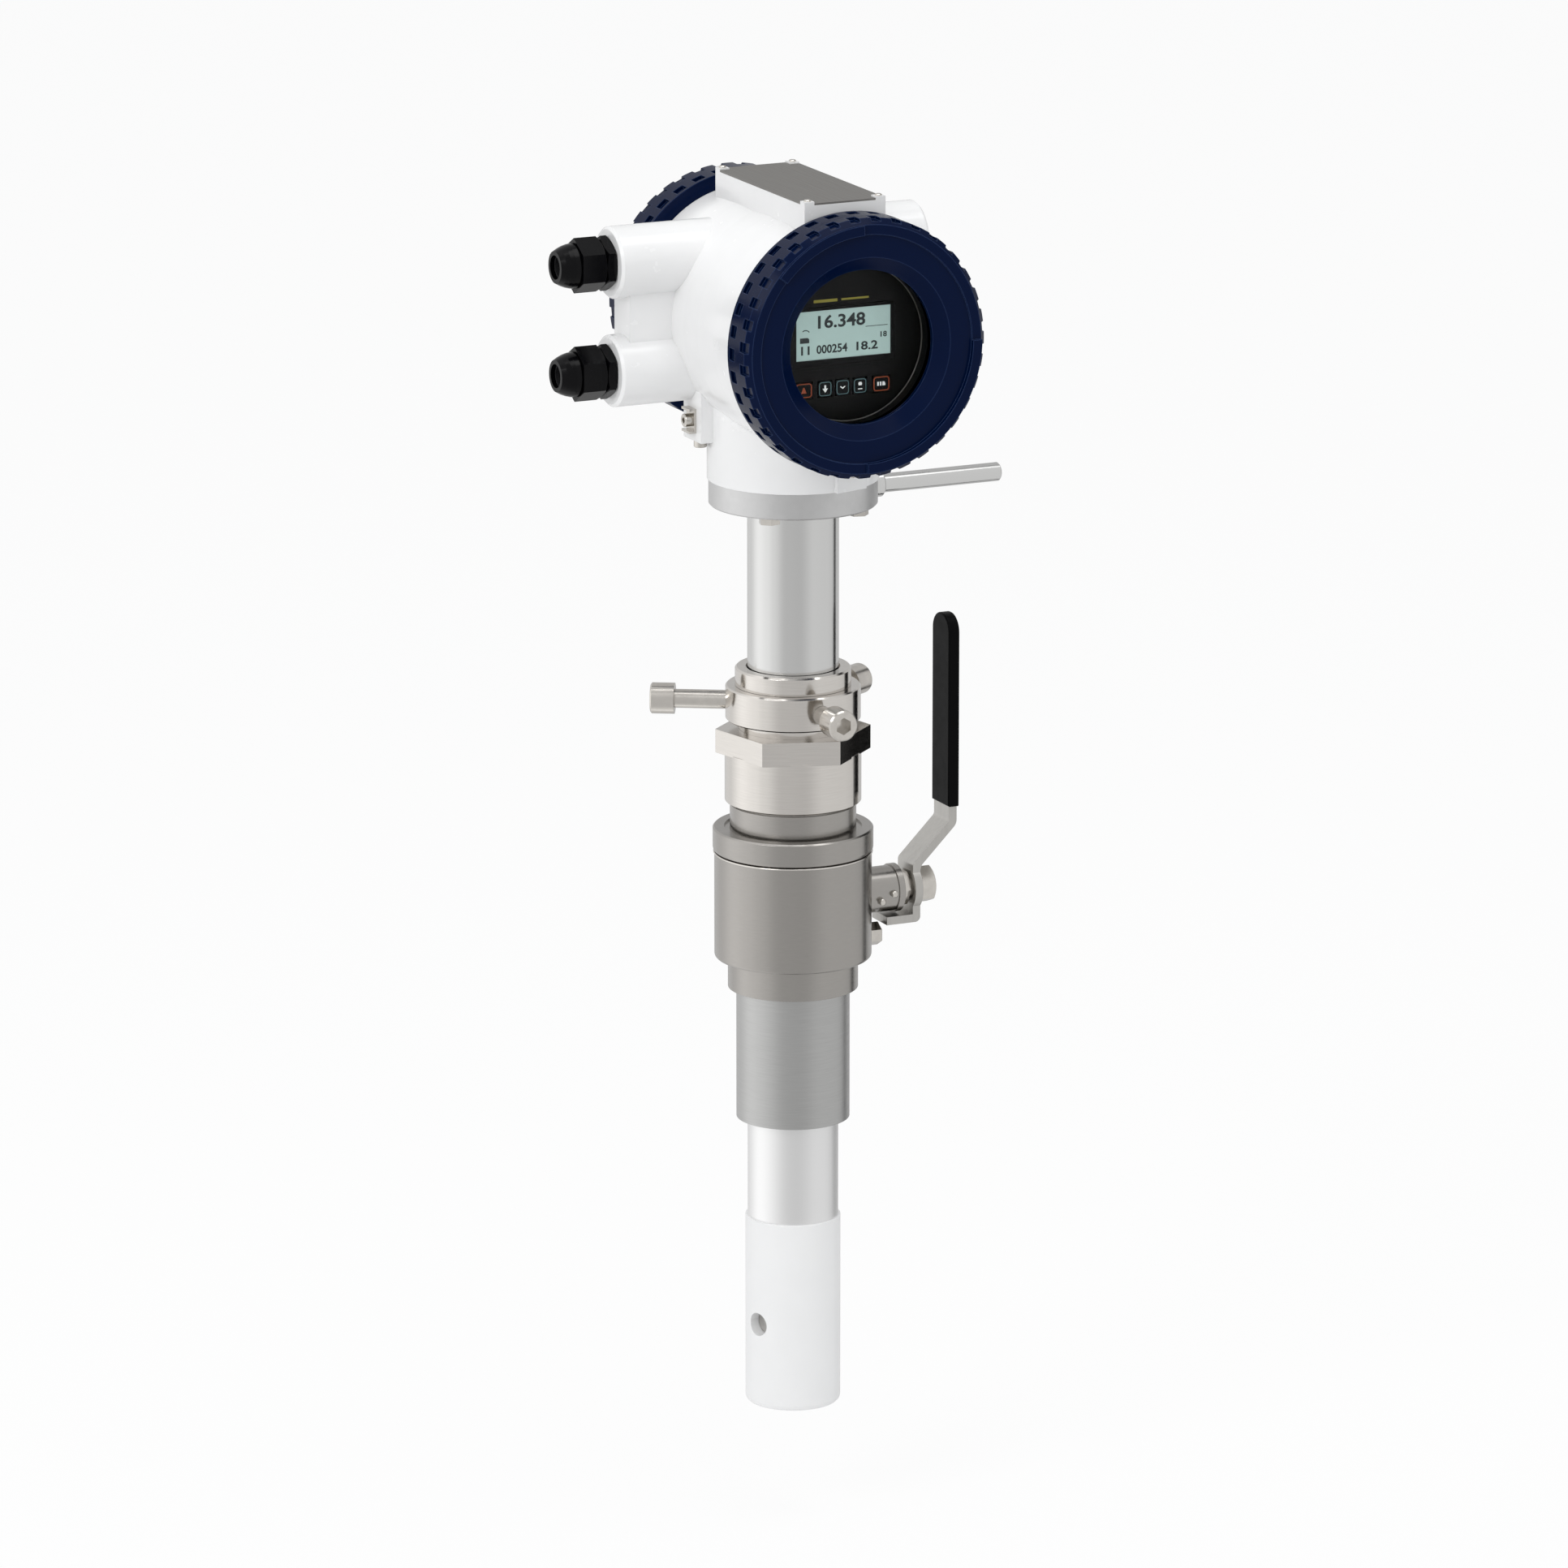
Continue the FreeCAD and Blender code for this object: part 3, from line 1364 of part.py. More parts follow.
def front_cover():
    sink = "cover_deep - window_sink"
    shelf = "cover_deep - window_sink - window_lip"
    back = f"{shelf} - gasket_thick - glass_thick - retainer_thick"
    body = keep(turned("front_cover", "Z", cover_outline([
        ("cover_deep - band_high", "ring_face_d / 2"),
        (sink, "window_d / 2"),
        (shelf, "window_d / 2"),
        (shelf, "glass_d / 2 + fit_gap"),
        (back, "glass_d / 2 + fit_gap"),
        (back, "cover_bore / 2"),
    ])))
    raised_band(body, "-90", "0")
    raised_band(body, "92", "140")
    cover_rim(body)
    cover_place(body, -1, "front_len")
    pieces = (
        ("window_gasket", shelf, "gasket_thick", "gasket_bore / 2"),
        ("window_glass", f"{shelf} - gasket_thick", "glass_thick", "0"),
        ("window_retainer", f"{shelf} - gasket_thick - glass_thick", "retainer_thick", "retainer_bore / 2"),
    )
    for label, top, thick, bore in pieces:
        piece = keep(turned(label, "Z", [
            (f"{top} - {thick}", bore),
            (f"{top} - {thick}", "glass_d / 2"),
            (top, "glass_d / 2"),
            (top, bore),
        ]))
        cover_place(piece, -1, "front_len")


def rear_cover():
    inside = "cover_deep - band_high - lid_wall"
    body = keep(turned("rear_cover", "Z", cover_outline([
        ("cover_deep - band_high", "ring_face_d / 2"),
        ("cover_deep - 2 * band_high", "ring_face_d / 2 - band_high"),
        ("cover_deep - 2 * band_high", "0"),
        (inside, "0"),
        (inside, "cover_bore / 2"),
    ])))
    raised_band(body, "-90", "0")
    raised_band(body, "92", "140")
    cover_rim(body)
    cover_place(body, 1, "rear_len")


def cover_seal(label, side, length):
    seal = keep(turned(label, "Z", [
        ("-cover_gap - seal_deep + turn_gap", "seal_bore / 2"),
        ("-cover_gap - seal_deep + turn_gap", "seal_d / 2"),
        ("-turn_gap", "seal_d / 2"),
        ("-turn_gap", "seal_bore / 2"),
    ]))
    cover_place(seal, side, length)


def key_sizes():
    """Each key's middle and width."""
    keys = []
    for step in (-2, -1, 0, 1, 2):
        if abs(step) == 2:
            keys.append((f"key_shift + {step // 2} * key_outer", "key_outer_wide"))
        else:
            keys.append((f"key_shift + {step} * key_pitch", "key_wide"))
    return keys


def key_outline(middle, wide, gap="0"):
    return rectangle(f"{middle} - {wide} / 2 - {gap}", f"{middle} + {wide} / 2 + {gap}",
                     f"-key_down - key_high / 2 - {gap}", f"-key_down + key_high / 2 + {gap}")


def display():
    low = "lcd_up - lcd_high / 2"
    high = "lcd_up + lcd_high / 2"
    panel = keep(new_body("display_panel"))
    extrude(panel, "XZ_Plane", "panel_y - panel_thick", "panel_thick", circles=[("panel_d",)])
    extrude(panel, "XZ_Plane", "panel_y - panel_thick - panel_skirt", "panel_skirt",
            circles=[("panel_d",), ("panel_d - 2 * panel_skirt_wall",)])
    corner = "lcd_high / 12"
    window = [
        ("-lcd_wide / 2 - fit_gap", f"{low} - fit_gap"),
        ("lcd_wide / 2 + fit_gap", f"{low} - fit_gap"),
        ("lcd_wide / 2 + fit_gap", f"{high} + fit_gap"),
        (f"-lcd_wide / 2 - fit_gap + {corner}", f"{high} + fit_gap"),
        ("-lcd_wide / 2 - fit_gap", f"{high} + fit_gap - {corner}"),
    ]
    holes = [key_outline(middle, wide, "key_gap") for middle, wide in key_sizes()]
    extrude(panel, "XZ_Plane", "panel_y + 1", "panel_thick + 2", outlines=[window, *holes], cut=True)
    place(panel, z="head_z")
    screen = keep(new_body("lcd_screen"))
    side = "lcd_wide / 2 + lcd_frame"
    extrude(screen, "XZ_Plane", "board_y", "lcd_thick",
            outlines=[rectangle(f"-({side})", side, f"{low} - lcd_frame", f"{high} + lcd_frame")])
    glass = [
        ("-lcd_wide / 2", low),
        ("lcd_wide / 2", low),
        ("lcd_wide / 2", high),
        (f"-lcd_wide / 2 + {corner}", high),
        ("-lcd_wide / 2", f"{high} - {corner}"),
    ]
    extrude(screen, "XZ_Plane", "board_y + lcd_thick", "panel_thick - lcd_sink", outlines=[glass])
    place(screen, z="head_z")
    board = keep(new_body("display_board"))
    extrude(board, "XZ_Plane", "board_y - board_thick", "board_thick", circles=[("board_d",)])
    place(board, z="head_z")
    standoffs = []
    for angle in (90, 210, 330):
        post = turned("standoff", "Z", [
            ("0", "0"),
            ("0", "standoff_d / 2"),
            ("board_y - board_thick - wall_half", "standoff_d / 2"),
            ("board_y - board_thick - wall_half", "0"),
        ])
        place(post, x=f"standoff_circle / 2 * cos({angle})", y="-wall_half",
              z=f"head_z + standoff_circle / 2 * sin({angle})", axis=(1, 0, 0), turn="90")
        standoffs.append(post)
    group("display_standoffs", standoffs)
    for index, (middle, wide) in enumerate(key_sizes(), start=1):
        key = keep(new_body(f"key_{index}"))
        extrude(key, "XZ_Plane", "panel_y + key_proud - key_thick", "key_thick",
                outlines=[key_outline(middle, wide)])
        soften(key, "key_round", lambda edge: edge.BoundBox.YLength > number("key_thick") - 0.01)
        place(key, z="head_z")


def terminals():
    board = keep(new_body("terminal_board"))
    extrude(board, "XZ_Plane", "-wall_half - board_thick", "board_thick", outlines=[rectangle(
        "-terminal_wide / 2", "terminal_wide / 2", "-terminal_tall / 2", "terminal_tall / 2")])
    place(board, z="head_z")
    block = keep(new_body("terminal_block"))
    back = "(wall_half + board_thick)"
    extrude(block, "XZ_Plane", f"-{back} - block_deep", "block_deep", outlines=[rectangle(
        "-block_wide / 2", "block_wide / 2", "-block_tall / 2", "block_tall / 2")])
    pitch = "block_wide / (way_count + 0.5)"
    start = f"-{pitch} * (way_count - 1) / 2"
    screw = extrude(block, "XZ_Plane", f"-{back} - block_deep - 1", "way_deep + 1",
                    circles=[("way_d", start, "block_tall / 5")], cut=True, back=True)
    pattern = block.newObject("PartDesign::LinearPattern", "terminal_block_row")
    pattern.Originals = [screw]
    pattern.Direction = (plane(block, "X_Axis"), [""])
    bind(pattern, {"Length": f"{pitch} * (way_count - 1)", "Occurrences": "way_count"})
    block.Tip = pattern
    place(block, z="head_z")


def gland_place(item, up):
    place(item, x="-boss_left", y="boss_y", z=f"head_z + {up}", turn="180")


def gland_body(up):
    bore = "gland_bore_d / 2"
    body = turned("gland_body", "X", [
        ("-gland_thread", bore),
        ("-gland_thread", "entry_d / 2"),
        ("0", "entry_d / 2"),
        ("gland_base", "entry_d / 2"),
        ("gland_base", "gland_neck_d / 2"),
        ("gland_base + gland_neck_len", "gland_neck_d / 2"),
        ("gland_base + gland_neck_len", bore),
    ])
    extrude(body, "YZ_Plane", "0", "gland_base", outlines=[hexagon("gland_af")],
            circles=[("entry_d - 1",)])
    bevel_nut(body, "X", "0", "gland_base", "gland_af")
    gland_place(body, up)
    return body


def gland_nut(side, up):
    near = "gland_base + gland_slot"
    far = f"{near} + nut_len"
    dome = f"{near} + nut_hex_len"
    thread = "gland_neck_d / 2 + run_gap"
    mouth = "cable_d / 2 + insert_lead"
    shelf = f"{far} - nut_shelf"
    nut = keep(turned(f"gland_nut_{side}", "X", [
        (near, thread),
        (near, "nut_wall_d / 2"),
        (dome, "nut_wall_d / 2"),
        *bulge((f"{dome} + edge", "gland_af / 2 - edge"), (far, "nut_dome_d / 2"), "nut_dome_curve", 4),
        (far, mouth),
        (shelf, mouth),
        (shelf, thread),
    ]))
    extrude(nut, "YZ_Plane", near, "nut_hex_len", outlines=[hexagon("gland_af")],
            circles=[("nut_wall_d - 1",)])
    bevel_nut(nut, "X", near, f"{dome} + 2", "gland_af")
    gland_place(nut, up)
    end = f"{shelf} - turn_gap"
    insert = keep(turned(f"gland_seal_{side}", "X", [
        (f"{end} - insert_len", "cable_d / 2"),
        (f"{end} - insert_len", "gland_bore_d / 2 - seal_gap"),
        (f"{end} - insert_len + insert_nose", "gland_bore_d / 2 - seal_gap"),
        (f"{end} - insert_len + insert_nose + edge", "insert_d / 2"),
        (end, "insert_d / 2"),
        (end, "cable_d / 2"),
    ]))
    gland_place(insert, up)


def blanking_plug(up):
    plug = turned("blanking_plug", "X", [
        ("boss_right - blank_len", "0"),
        ("boss_right - blank_len", "entry_d / 2"),
        ("boss_right", "entry_d / 2"),
        ("boss_right", "0"),
    ])
    extrude(plug, "YZ_Plane", "boss_right", "blank_deep", outlines=[hexagon("blank_af")], cut=True)
    place(plug, y="boss_y", z=f"head_z + {up}")
    return plug


def check(items):
    for item in doc.Objects:
        if "Invalid" in item.State or "Error" in item.State:
            raise RuntimeError(f"{item.Label} failed: {item.State}")
    for item in items:
        if item.Shape.isNull() or not item.Shape.isValid() or not item.Shape.Solids:
            raise RuntimeError(f"{item.Label} has no valid solid")


def build():
    fill_sheet()
    weld_nipple()
    valve_body()
    valve_end_cap()
    valve_ball()
    ball_seats()
    body_plug()
    stop_pins()
    spindle_gland()
    valve_spindle()
    lever_handle()
    lever_grip()
    lever_nut()
    outlet_nipple()
    fitting_body()
    packing_rings()
    clamp_collar()
    guide_ring()
    clamp_screw("front", "270", "clamp_shank")
    clamp_screw("right", "30", "clamp_shank")
    clamp_screw("left", "150", "clamp_shank_long")
    stem_tube()
    sensor_sleeve()
    sensor_electrodes()
    field_coil()
    neck_flange()
    flange_bolts()
    orientation_rod()
    housing()
    nameplate()
    lug_fittings()
    front_cover()
    rear_cover()
    cover_seal("front_cover_seal", -1, "front_len")
    cover_seal("rear_cover_seal", 1, "rear_len")
    display()
    terminals()
    for side, up in (("upper", "boss_upper"), ("lower", "-boss_lower")):
        gland_nut(side, up)
    group("gland_bodies", [gland_body("boss_upper"), gland_body("-boss_lower")])
    group("blanking_plugs", [blanking_plug("boss_upper"), blanking_plug("-boss_lower")])
    doc.recompute()
    check(SUB_PARTS)
    os.makedirs("parts", exist_ok=True)
    for item in SUB_PARTS:
        item.Shape.exportStep(os.path.join("parts", item.Label + ".step"))


build()
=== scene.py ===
import json
import math

import bpy
from mathutils import Matrix, Vector


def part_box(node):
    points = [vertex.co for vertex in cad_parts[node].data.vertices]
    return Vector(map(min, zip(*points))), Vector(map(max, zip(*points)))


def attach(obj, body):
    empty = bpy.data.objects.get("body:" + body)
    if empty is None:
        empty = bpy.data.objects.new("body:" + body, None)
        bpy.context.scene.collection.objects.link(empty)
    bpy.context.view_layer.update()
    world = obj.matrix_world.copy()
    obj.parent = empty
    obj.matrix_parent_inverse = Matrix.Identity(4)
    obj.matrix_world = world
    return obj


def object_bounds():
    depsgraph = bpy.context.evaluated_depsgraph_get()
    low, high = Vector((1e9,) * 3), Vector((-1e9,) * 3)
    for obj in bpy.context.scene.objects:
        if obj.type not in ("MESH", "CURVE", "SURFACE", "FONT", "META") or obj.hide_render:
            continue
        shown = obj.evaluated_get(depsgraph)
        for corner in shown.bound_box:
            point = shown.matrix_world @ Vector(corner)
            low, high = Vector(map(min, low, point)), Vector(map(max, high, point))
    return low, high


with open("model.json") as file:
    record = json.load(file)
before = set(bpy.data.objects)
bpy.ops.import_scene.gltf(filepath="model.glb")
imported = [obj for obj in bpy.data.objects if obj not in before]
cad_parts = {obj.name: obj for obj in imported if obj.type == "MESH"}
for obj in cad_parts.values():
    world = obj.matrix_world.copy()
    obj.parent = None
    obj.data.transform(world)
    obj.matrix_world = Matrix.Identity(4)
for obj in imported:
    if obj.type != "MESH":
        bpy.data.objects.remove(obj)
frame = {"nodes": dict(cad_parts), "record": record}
cad_low, cad_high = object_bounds()

# Camera, at the photo's angle
CAMERA_PLACE = Vector((-2.1128, -4.5197, 1.4506))
CAMERA_LOOK = Vector((0.40957, 0.87834, -0.24649))
CAMERA_REACH = 60.0
LENS = 223.6
SENSOR = 36.0

# Floor, and the share of plain white in what the camera sees of it
FLOOR_DROP = 0.064
FLOOR_HALF = 30.0
FLOOR_COLOUR = (0.92, 0.92, 0.92, 1.0)
FLOOR_WHITE = 0.88

# Light on matt surfaces, and the cards that polished ones mirror: (azimuth in degrees, brightness)
WHITE = (1.0, 1.0, 1.0, 1.0)
MATT_COLOUR = (0.98, 0.99, 1.0, 1.0)
MATT_LIGHT = 0.73
CARD_LIGHT = 1.5
CARDS = (
    (-180, 1.20), (-166, 1.04), (-133, 0.72), (-98, 0.69), (-62, 0.88), (-20, 0.86), (6, 0.78),
    (10, 0.02), (18, 0.02), (22, 0.70), (60, 0.60), (110, 0.90), (150, 1.35), (180, 1.20),
)

# Square lamps: name, place, side and power
LAMP_TARGET = Vector((0, 0, 0.25))
LAMPS = (
    ("key_lamp", Vector((-2.2, -1.1, 1.9)), 1.2, 21.0),
    ("top_lamp", Vector((0.2, -0.4, 2.4)), 1.4, 12.5),
)

# Textures: the span that holds most of a noise's values, its scales, and depths and edge radii in metres
NOISE_LOW = 0.3
NOISE_HIGH = 0.7
NOISE_ROUGHNESS = 0.55
PAINT_CLOUDS = 24.0
PAINT_SHEEN = 90.0
PLASTIC_CLOUDS = 45.0
PLASTIC_SHEEN = 160.0
PRINT_CLOUDS = 140.0
GLASS_HAZE = 12.0
FLOOR_CLOUDS = 3.0
STEM_MARKS = 50.0
METAL_SHEEN = 0.4
BEVEL_SAMPLES = 4
FINE_RELIEF = 0.0001
PAINT_RELIEF = 0.0002
METAL_EDGE = 0.0002
PLASTIC_EDGE = 0.0003
PAINT_EDGE = 0.0005
STEM_GROOVES = 0.05
ORANGE_PEEL = 0.05

# Lowest and highest roughness over a surface, as shares of its own
METAL_UNEVEN = (0.88, 1.14)
PLAIN_UNEVEN = (0.85, 1.15)

# Directions of brush and lathe marks, as stretches of the noise
EVEN = (1.0, 1.0, 1.0)
TURNED = (2.0, 2.0, 60.0)
WOUND = (1.0, 1.0, 60.0)
BRUSHED_LEVER = (8.0, 8.0, 1.0)
BRUSHED_PLATE = (60.0, 1.0, 1.0)

# Stem: pale and matt below the first level, polished above the second
STEM_PALE = 0.02
STEM_POLISHED = 0.06
STEM_PALE_ROUGHNESS = 0.42
STEM_POLISHED_ROUGHNESS = 0.18
STEM_UNEVEN = 0.03

# Painted highlight along edges: how far the rounded normal agrees with the face where it starts and where it
# is full
HIGHLIGHT_RADIUS = 0.0007
HIGHLIGHT_START = 0.995
HIGHLIGHT_FULL = 0.90
HIGHLIGHT_SHARE = 0.5

# Barrel of the head: swell of its normal per metre, and where its skin lies
HEAD_LEVEL = (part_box("window_retainer")[0].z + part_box("window_retainer")[1].z) / 2
BARREL_MIDDLE = -0.002
BARREL_SWELL = 0.96
BARREL_ALIKE = 0.983
BARREL_RADII = (0.0605, 0.0648)
BARREL_ENDS = (-0.0594, 0.0551)

# Display print
PRINT_HEIGHT = 0.00012
SCREEN_FRAME = 0.0034
TEXT_WEIGHT = 0.022
screen_low, screen_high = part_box("lcd_screen")
SCREEN_LEFT = screen_low.x + SCREEN_FRAME
SCREEN_BASE = screen_low.z + SCREEN_FRAME
SCREEN_WIDE = screen_high.x - screen_low.x - 2 * SCREEN_FRAME
SCREEN_HIGH = screen_high.z - screen_low.z - 2 * SCREEN_FRAME
SCREEN_FRONT = screen_low.y - PRINT_HEIGHT / 2

# Numbers on the screen: name, text, then left, base, width and height from its lower left corner
SCREEN_TEXTS = (
    ("screen_number", "16.348", 0.0126, 0.0162, 0.0270, 0.0070),
    ("screen_row_start", "11", 0.0030, 0.0030, 0.0048, 0.0046),
    ("screen_row_middle", "000254", 0.0118, 0.0030, 0.0176, 0.0046),
    ("screen_row_end", "18.2", 0.0346, 0.0030, 0.0122, 0.0046),
    ("screen_side_mark", "18", 0.0484, 0.0090, 0.0036, 0.0030),
)

# Marks on the screen from the same corner: a block, a bar and an arc, as (x, z, radius) and angles
SCREEN_BLOCK = ((0.0024, 0.0092), (0.0076, 0.0092), (0.0076, 0.0112), (0.0068, 0.0120), (0.0024, 0.0120))
SCREEN_BAR = (0.0398, 0.0151, 0.0524, 0.0154)
SCREEN_BOW = (0.0055, 0.0134, 0.0026)
BOW_ANGLES = (35, 130)
BOW_STEPS = 6
BOW_LINE = 0.00024

# Bezel round the screen: how far it lies left of, below, right of and above the screen's view
BEZEL_OUT = (0.0042, 0.0032, 0.0022, 0.0018)
BEZEL_CORNER = 0.0016
BEZEL_LINE = 0.00035

# Yellow bars above the screen: name, then left, base, right and top from its upper left corner
PANEL_BARS = (
    ("panel_bar_left", 0.0098, 0.0043, 0.0233, 0.0058),
    ("panel_bar_right", 0.0256, 0.0046, 0.0412, 0.0056),
)

# Outlines of the keys
KEY_INSET = 0.0006
KEY_CORNER = 0.0014
CORNER_STEPS = 4
KEY_LINE = 0.00024
OUTER_KEY_LINE = 0.0003

# Rings round the window and at the valve's end cap
RING_STEPS = 96
RING_INSET = 0.0029
RING_RADIUS = 0.00035
CAP_EDGE_INSET = 0.0007
CAP_EDGE_RADIUS = 0.0005
CAP_EDGE_DROP = 0.0137

# Set screw on the neck's flat, with its outline as (height, radius) from the rim to the recess
NECK_FLAT_TURN = 74.0
NECK_FLAT_OUT = 0.0469
NECK_SCREW_RISE = 0.0098
NECK_SCREW_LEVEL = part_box("neck_flange")[1].z + NECK_SCREW_RISE
SET_SCREW_STEPS = 24
SET_SCREW_OUTLINE = (
    (0.0, 0.0026), (0.0012, 0.0026), (0.0015, 0.0023), (0.0015, 0.0014), (0.0003, 0.0014), (0.0003, 0.0),
)


def linear(text):
    """Linear colour of a six digit web colour."""
    parts = [int(text[i : i + 2], 16) / 255 for i in (0, 2, 4)]
    return tuple(c / 12.92 if c <= 0.04045 else ((c + 0.055) / 1.055) ** 2.4 for c in parts) + (1.0,)


def shade(colour, factor):
    """The colour made lighter or darker by a factor."""
    return tuple(min(1.0, c * factor) for c in colour[:3]) + (1.0,)


class Nodes:
    """A node tree, with helpers that add nodes and feed their inputs."""

    def __init__(self, tree):
        self.tree = tree

    def feed(self, socket, value):
        """Joins an output to the socket, or sets the socket to a value."""
        if isinstance(value, bpy.types.NodeSocket):
            self.tree.links.new(value, socket)
        else:
            socket.default_value = value

    def node(self, kind, inputs=None, **settings):
        """New node with these settings, and its inputs fed by name or number."""
        made = self.tree.nodes.new(kind)
        for key, value in settings.items():
            setattr(made, key, value)
        for key, value in (inputs or {}).items():
            self.feed(made.inputs[key], value)
        return made

    def maths(self, operation, first, second=0.0):
        """Result of one operation on numbers or outputs."""
        return self.node("ShaderNodeMath", {0: first, 1: second}, operation=operation).outputs[0]

    def alike(self, first, second):
        """How far two directions agree: 1 where they are the same."""
        made = self.node("ShaderNodeVectorMath", {0: first, 1: second}, operation="DOT_PRODUCT")
        return made.outputs["Value"]

    def coordinates(self, kind):
        """The x, y and z of a texture coordinate."""
        place = self.node("ShaderNodeTexCoord").outputs[kind]
        split = self.node("ShaderNodeSeparateXYZ", {0: place})
        return [split.outputs[axis] for axis in "XYZ"]

    def spread(self, value, start, end, low=0.0, high=1.0):
        """A value between start and end, spread over low to high."""
        inputs = {"Value": value, "From Min": start, "From Max": end, "To Min": low, "To Max": high}
        return self.node("ShaderNodeMapRange", inputs).outputs["Result"]

    def ramp(self, value, stops, interpolation="LINEAR"):
        """Colour by value, from (position, colour) stops in rising order."""
        made = self.node("ShaderNodeValToRGB", {"Fac": value})
        made.color_ramp.interpolation = interpolation
        elements = made.color_ramp.elements
        for index, (position, colour) in enumerate(stops):
            stop = elements[index] if index < 2 else elements.new(position)
            stop.position = position
            stop.color = colour
        return made.outputs["Color"]

    def blend(self, kind, factor, first, second):
        """Mix of two vectors or colours. The node's sockets share names, so they go by number."""
        start, result = {"VECTOR": (4, 1), "RGBA": (6, 2)}[kind]
        made = self.node("ShaderNodeMix", data_type=kind)
        for slot, value in ((0, factor), (start, first), (start + 1, second)):
            self.feed(made.inputs[slot], value)
        return made.outputs[result]

    def mixed(self, factor, first, second):
        """Mix of two shaders."""
        return self.node("ShaderNodeMixShader", {0: factor, 1: first, 2: second}).outputs[0]

    def cards(self, x, y):
        """Light of the studio's cards by the direction of (x, y), as a share of CARD_LIGHT."""
        azimuth = self.maths("ARCTAN2", y, x)
        stops = []
        for angle, value in CARDS:
            share = value / CARD_LIGHT
            stops.append(((angle + 180) / 360, (share, share, share, 1.0)))
        return self.ramp(self.spread(azimuth, -math.pi, math.pi), stops, "EASE")


class Material(Nodes):
    """A node material around one Principled shader."""

    def __init__(self, name, colour, roughness, metallic=0.0):
        self.material = bpy.data.materials.new(name)
        self.material.use_nodes = True
        self.material.diffuse_color = colour
        super().__init__(self.material.node_tree)
        self.shader = self.tree.nodes["Principled BSDF"]
        self.set({"Base Color": colour, "Roughness": roughness, "Metallic": metallic})

    def set(self, inputs):
        """Feeds the shader's own inputs."""
        for key, value in inputs.items():
            self.feed(self.shader.inputs[key], value)

    def noise(self, scale, detail=3.0, stretch=EVEN):
        """Noise fixed to the object."""
        place = self.node("ShaderNodeTexCoord").outputs["Object"]
        mapped = self.node("ShaderNodeMapping", {"Vector": place, "Scale": stretch}).outputs["Vector"]
        inputs = {"Vector": mapped, "Scale": scale, "Detail": detail, "Roughness": NOISE_ROUGHNESS}
        return self.node("ShaderNodeTexNoise", inputs).outputs["Fac"]

    def colour(self, value, low, high, start=NOISE_LOW, end=NOISE_HIGH):
        """Base colour from low to high by a value from start to end."""
        self.set({"Base Color": self.ramp(value, ((start, low), (end, high)))})

    def gloss(self, noise, low, high):
        """Roughness from low to high by a noise."""
        self.set({"Roughness": self.spread(noise, NOISE_LOW, NOISE_HIGH, low, high)})

    def uneven_gloss(self, noise, roughness, shares):
        """Roughness that a noise takes from the lowest to the highest share of itself."""
        self.gloss(noise, *(roughness * share for share in shares))

    def rounded(self, radius):
        """Normal of the surface with its edges rounded."""
        return self.node("ShaderNodeBevel", {"Radius": radius}, samples=BEVEL_SAMPLES).outputs["Normal"]

    def bump(self, value, strength, distance, edge, barrel=False):
        """Relief from a value over rounded edges, and over a smooth barrel on the head."""
        under = self.rounded(edge)
        if barrel:
            under = self.barrel_normal(under)
        inputs = {"Height": value, "Strength": strength, "Distance": distance, "Normal": under}
        self.set({"Normal": self.node("ShaderNodeBump", inputs).outputs["Normal"]})

    def painted_edge_highlight(self, colour):
        """Paints a highlight: blends a lighter colour into the base colour along the edges of the form."""
        face = self.node("ShaderNodeNewGeometry").outputs["True Normal"]
        turn = self.alike(self.rounded(HIGHLIGHT_RADIUS), face)
        share = self.spread(turn, HIGHLIGHT_START, HIGHLIGHT_FULL, 0.0, HIGHLIGHT_SHARE)
        under = self.shader.inputs["Base Color"].links[0].from_socket
        self.set({"Base Color": self.blend("RGBA", share, under, colour)})

    def barrel_normal(self, elsewhere):
        """One smooth swelling over the straight steps of the barrel, and the given normal elsewhere."""
        x, y, height = self.coordinates("Object")
        z = self.maths("SUBTRACT", height, HEAD_LEVEL)
        squares = self.maths("ADD", self.maths("MULTIPLY", x, x), self.maths("MULTIPLY", z, z))
        radius = self.maths("SQRT", squares)
        parts = {
            "X": self.maths("DIVIDE", x, radius),
            "Y": self.maths("MULTIPLY", self.maths("SUBTRACT", y, BARREL_MIDDLE), BARREL_SWELL),
            "Z": self.maths("DIVIDE", z, radius),
        }
        swelling = self.node("ShaderNodeCombineXYZ", parts).outputs[0]
        spaces = {"vector_type": "NORMAL", "convert_from": "OBJECT", "convert_to": "WORLD"}
        turned = self.node("ShaderNodeVectorTransform", {0: swelling}, **spaces).outputs[0]
        unit = self.node("ShaderNodeVectorMath", {0: turned}, operation="NORMALIZE").outputs[0]
        face = self.node("ShaderNodeNewGeometry").outputs["True Normal"]
        near = self.maths("GREATER_THAN", self.alike(face, unit), BARREL_ALIKE)
        for operation, value, limit in (
            ("GREATER_THAN", radius, BARREL_RADII[0]),
            ("LESS_THAN", radius, BARREL_RADII[1]),
            ("GREATER_THAN", y, BARREL_ENDS[0]),
            ("LESS_THAN", y, BARREL_ENDS[1]),
        ):
            near = self.maths("MULTIPLY", near, self.maths(operation, value, limit))
        return self.blend("VECTOR", near, elsewhere, unit)


def metal(name, text, roughness, stretch, scale, contrast, grooves):
    """Bare metal with brush or lathe marks of this scale, contrast and depth."""
    base = linear(text)
    made = Material(name, base, roughness, 1.0)
    marks = made.noise(scale, 4.0, stretch)
    made.colour(marks, shade(base, 1 - contrast), shade(base, 1 + contrast))
    made.uneven_gloss(made.noise(scale * METAL_SHEEN, 3.0, stretch), roughness, METAL_UNEVEN)
    made.bump(marks, grooves, FINE_RELIEF, METAL_EDGE)
    return made.material


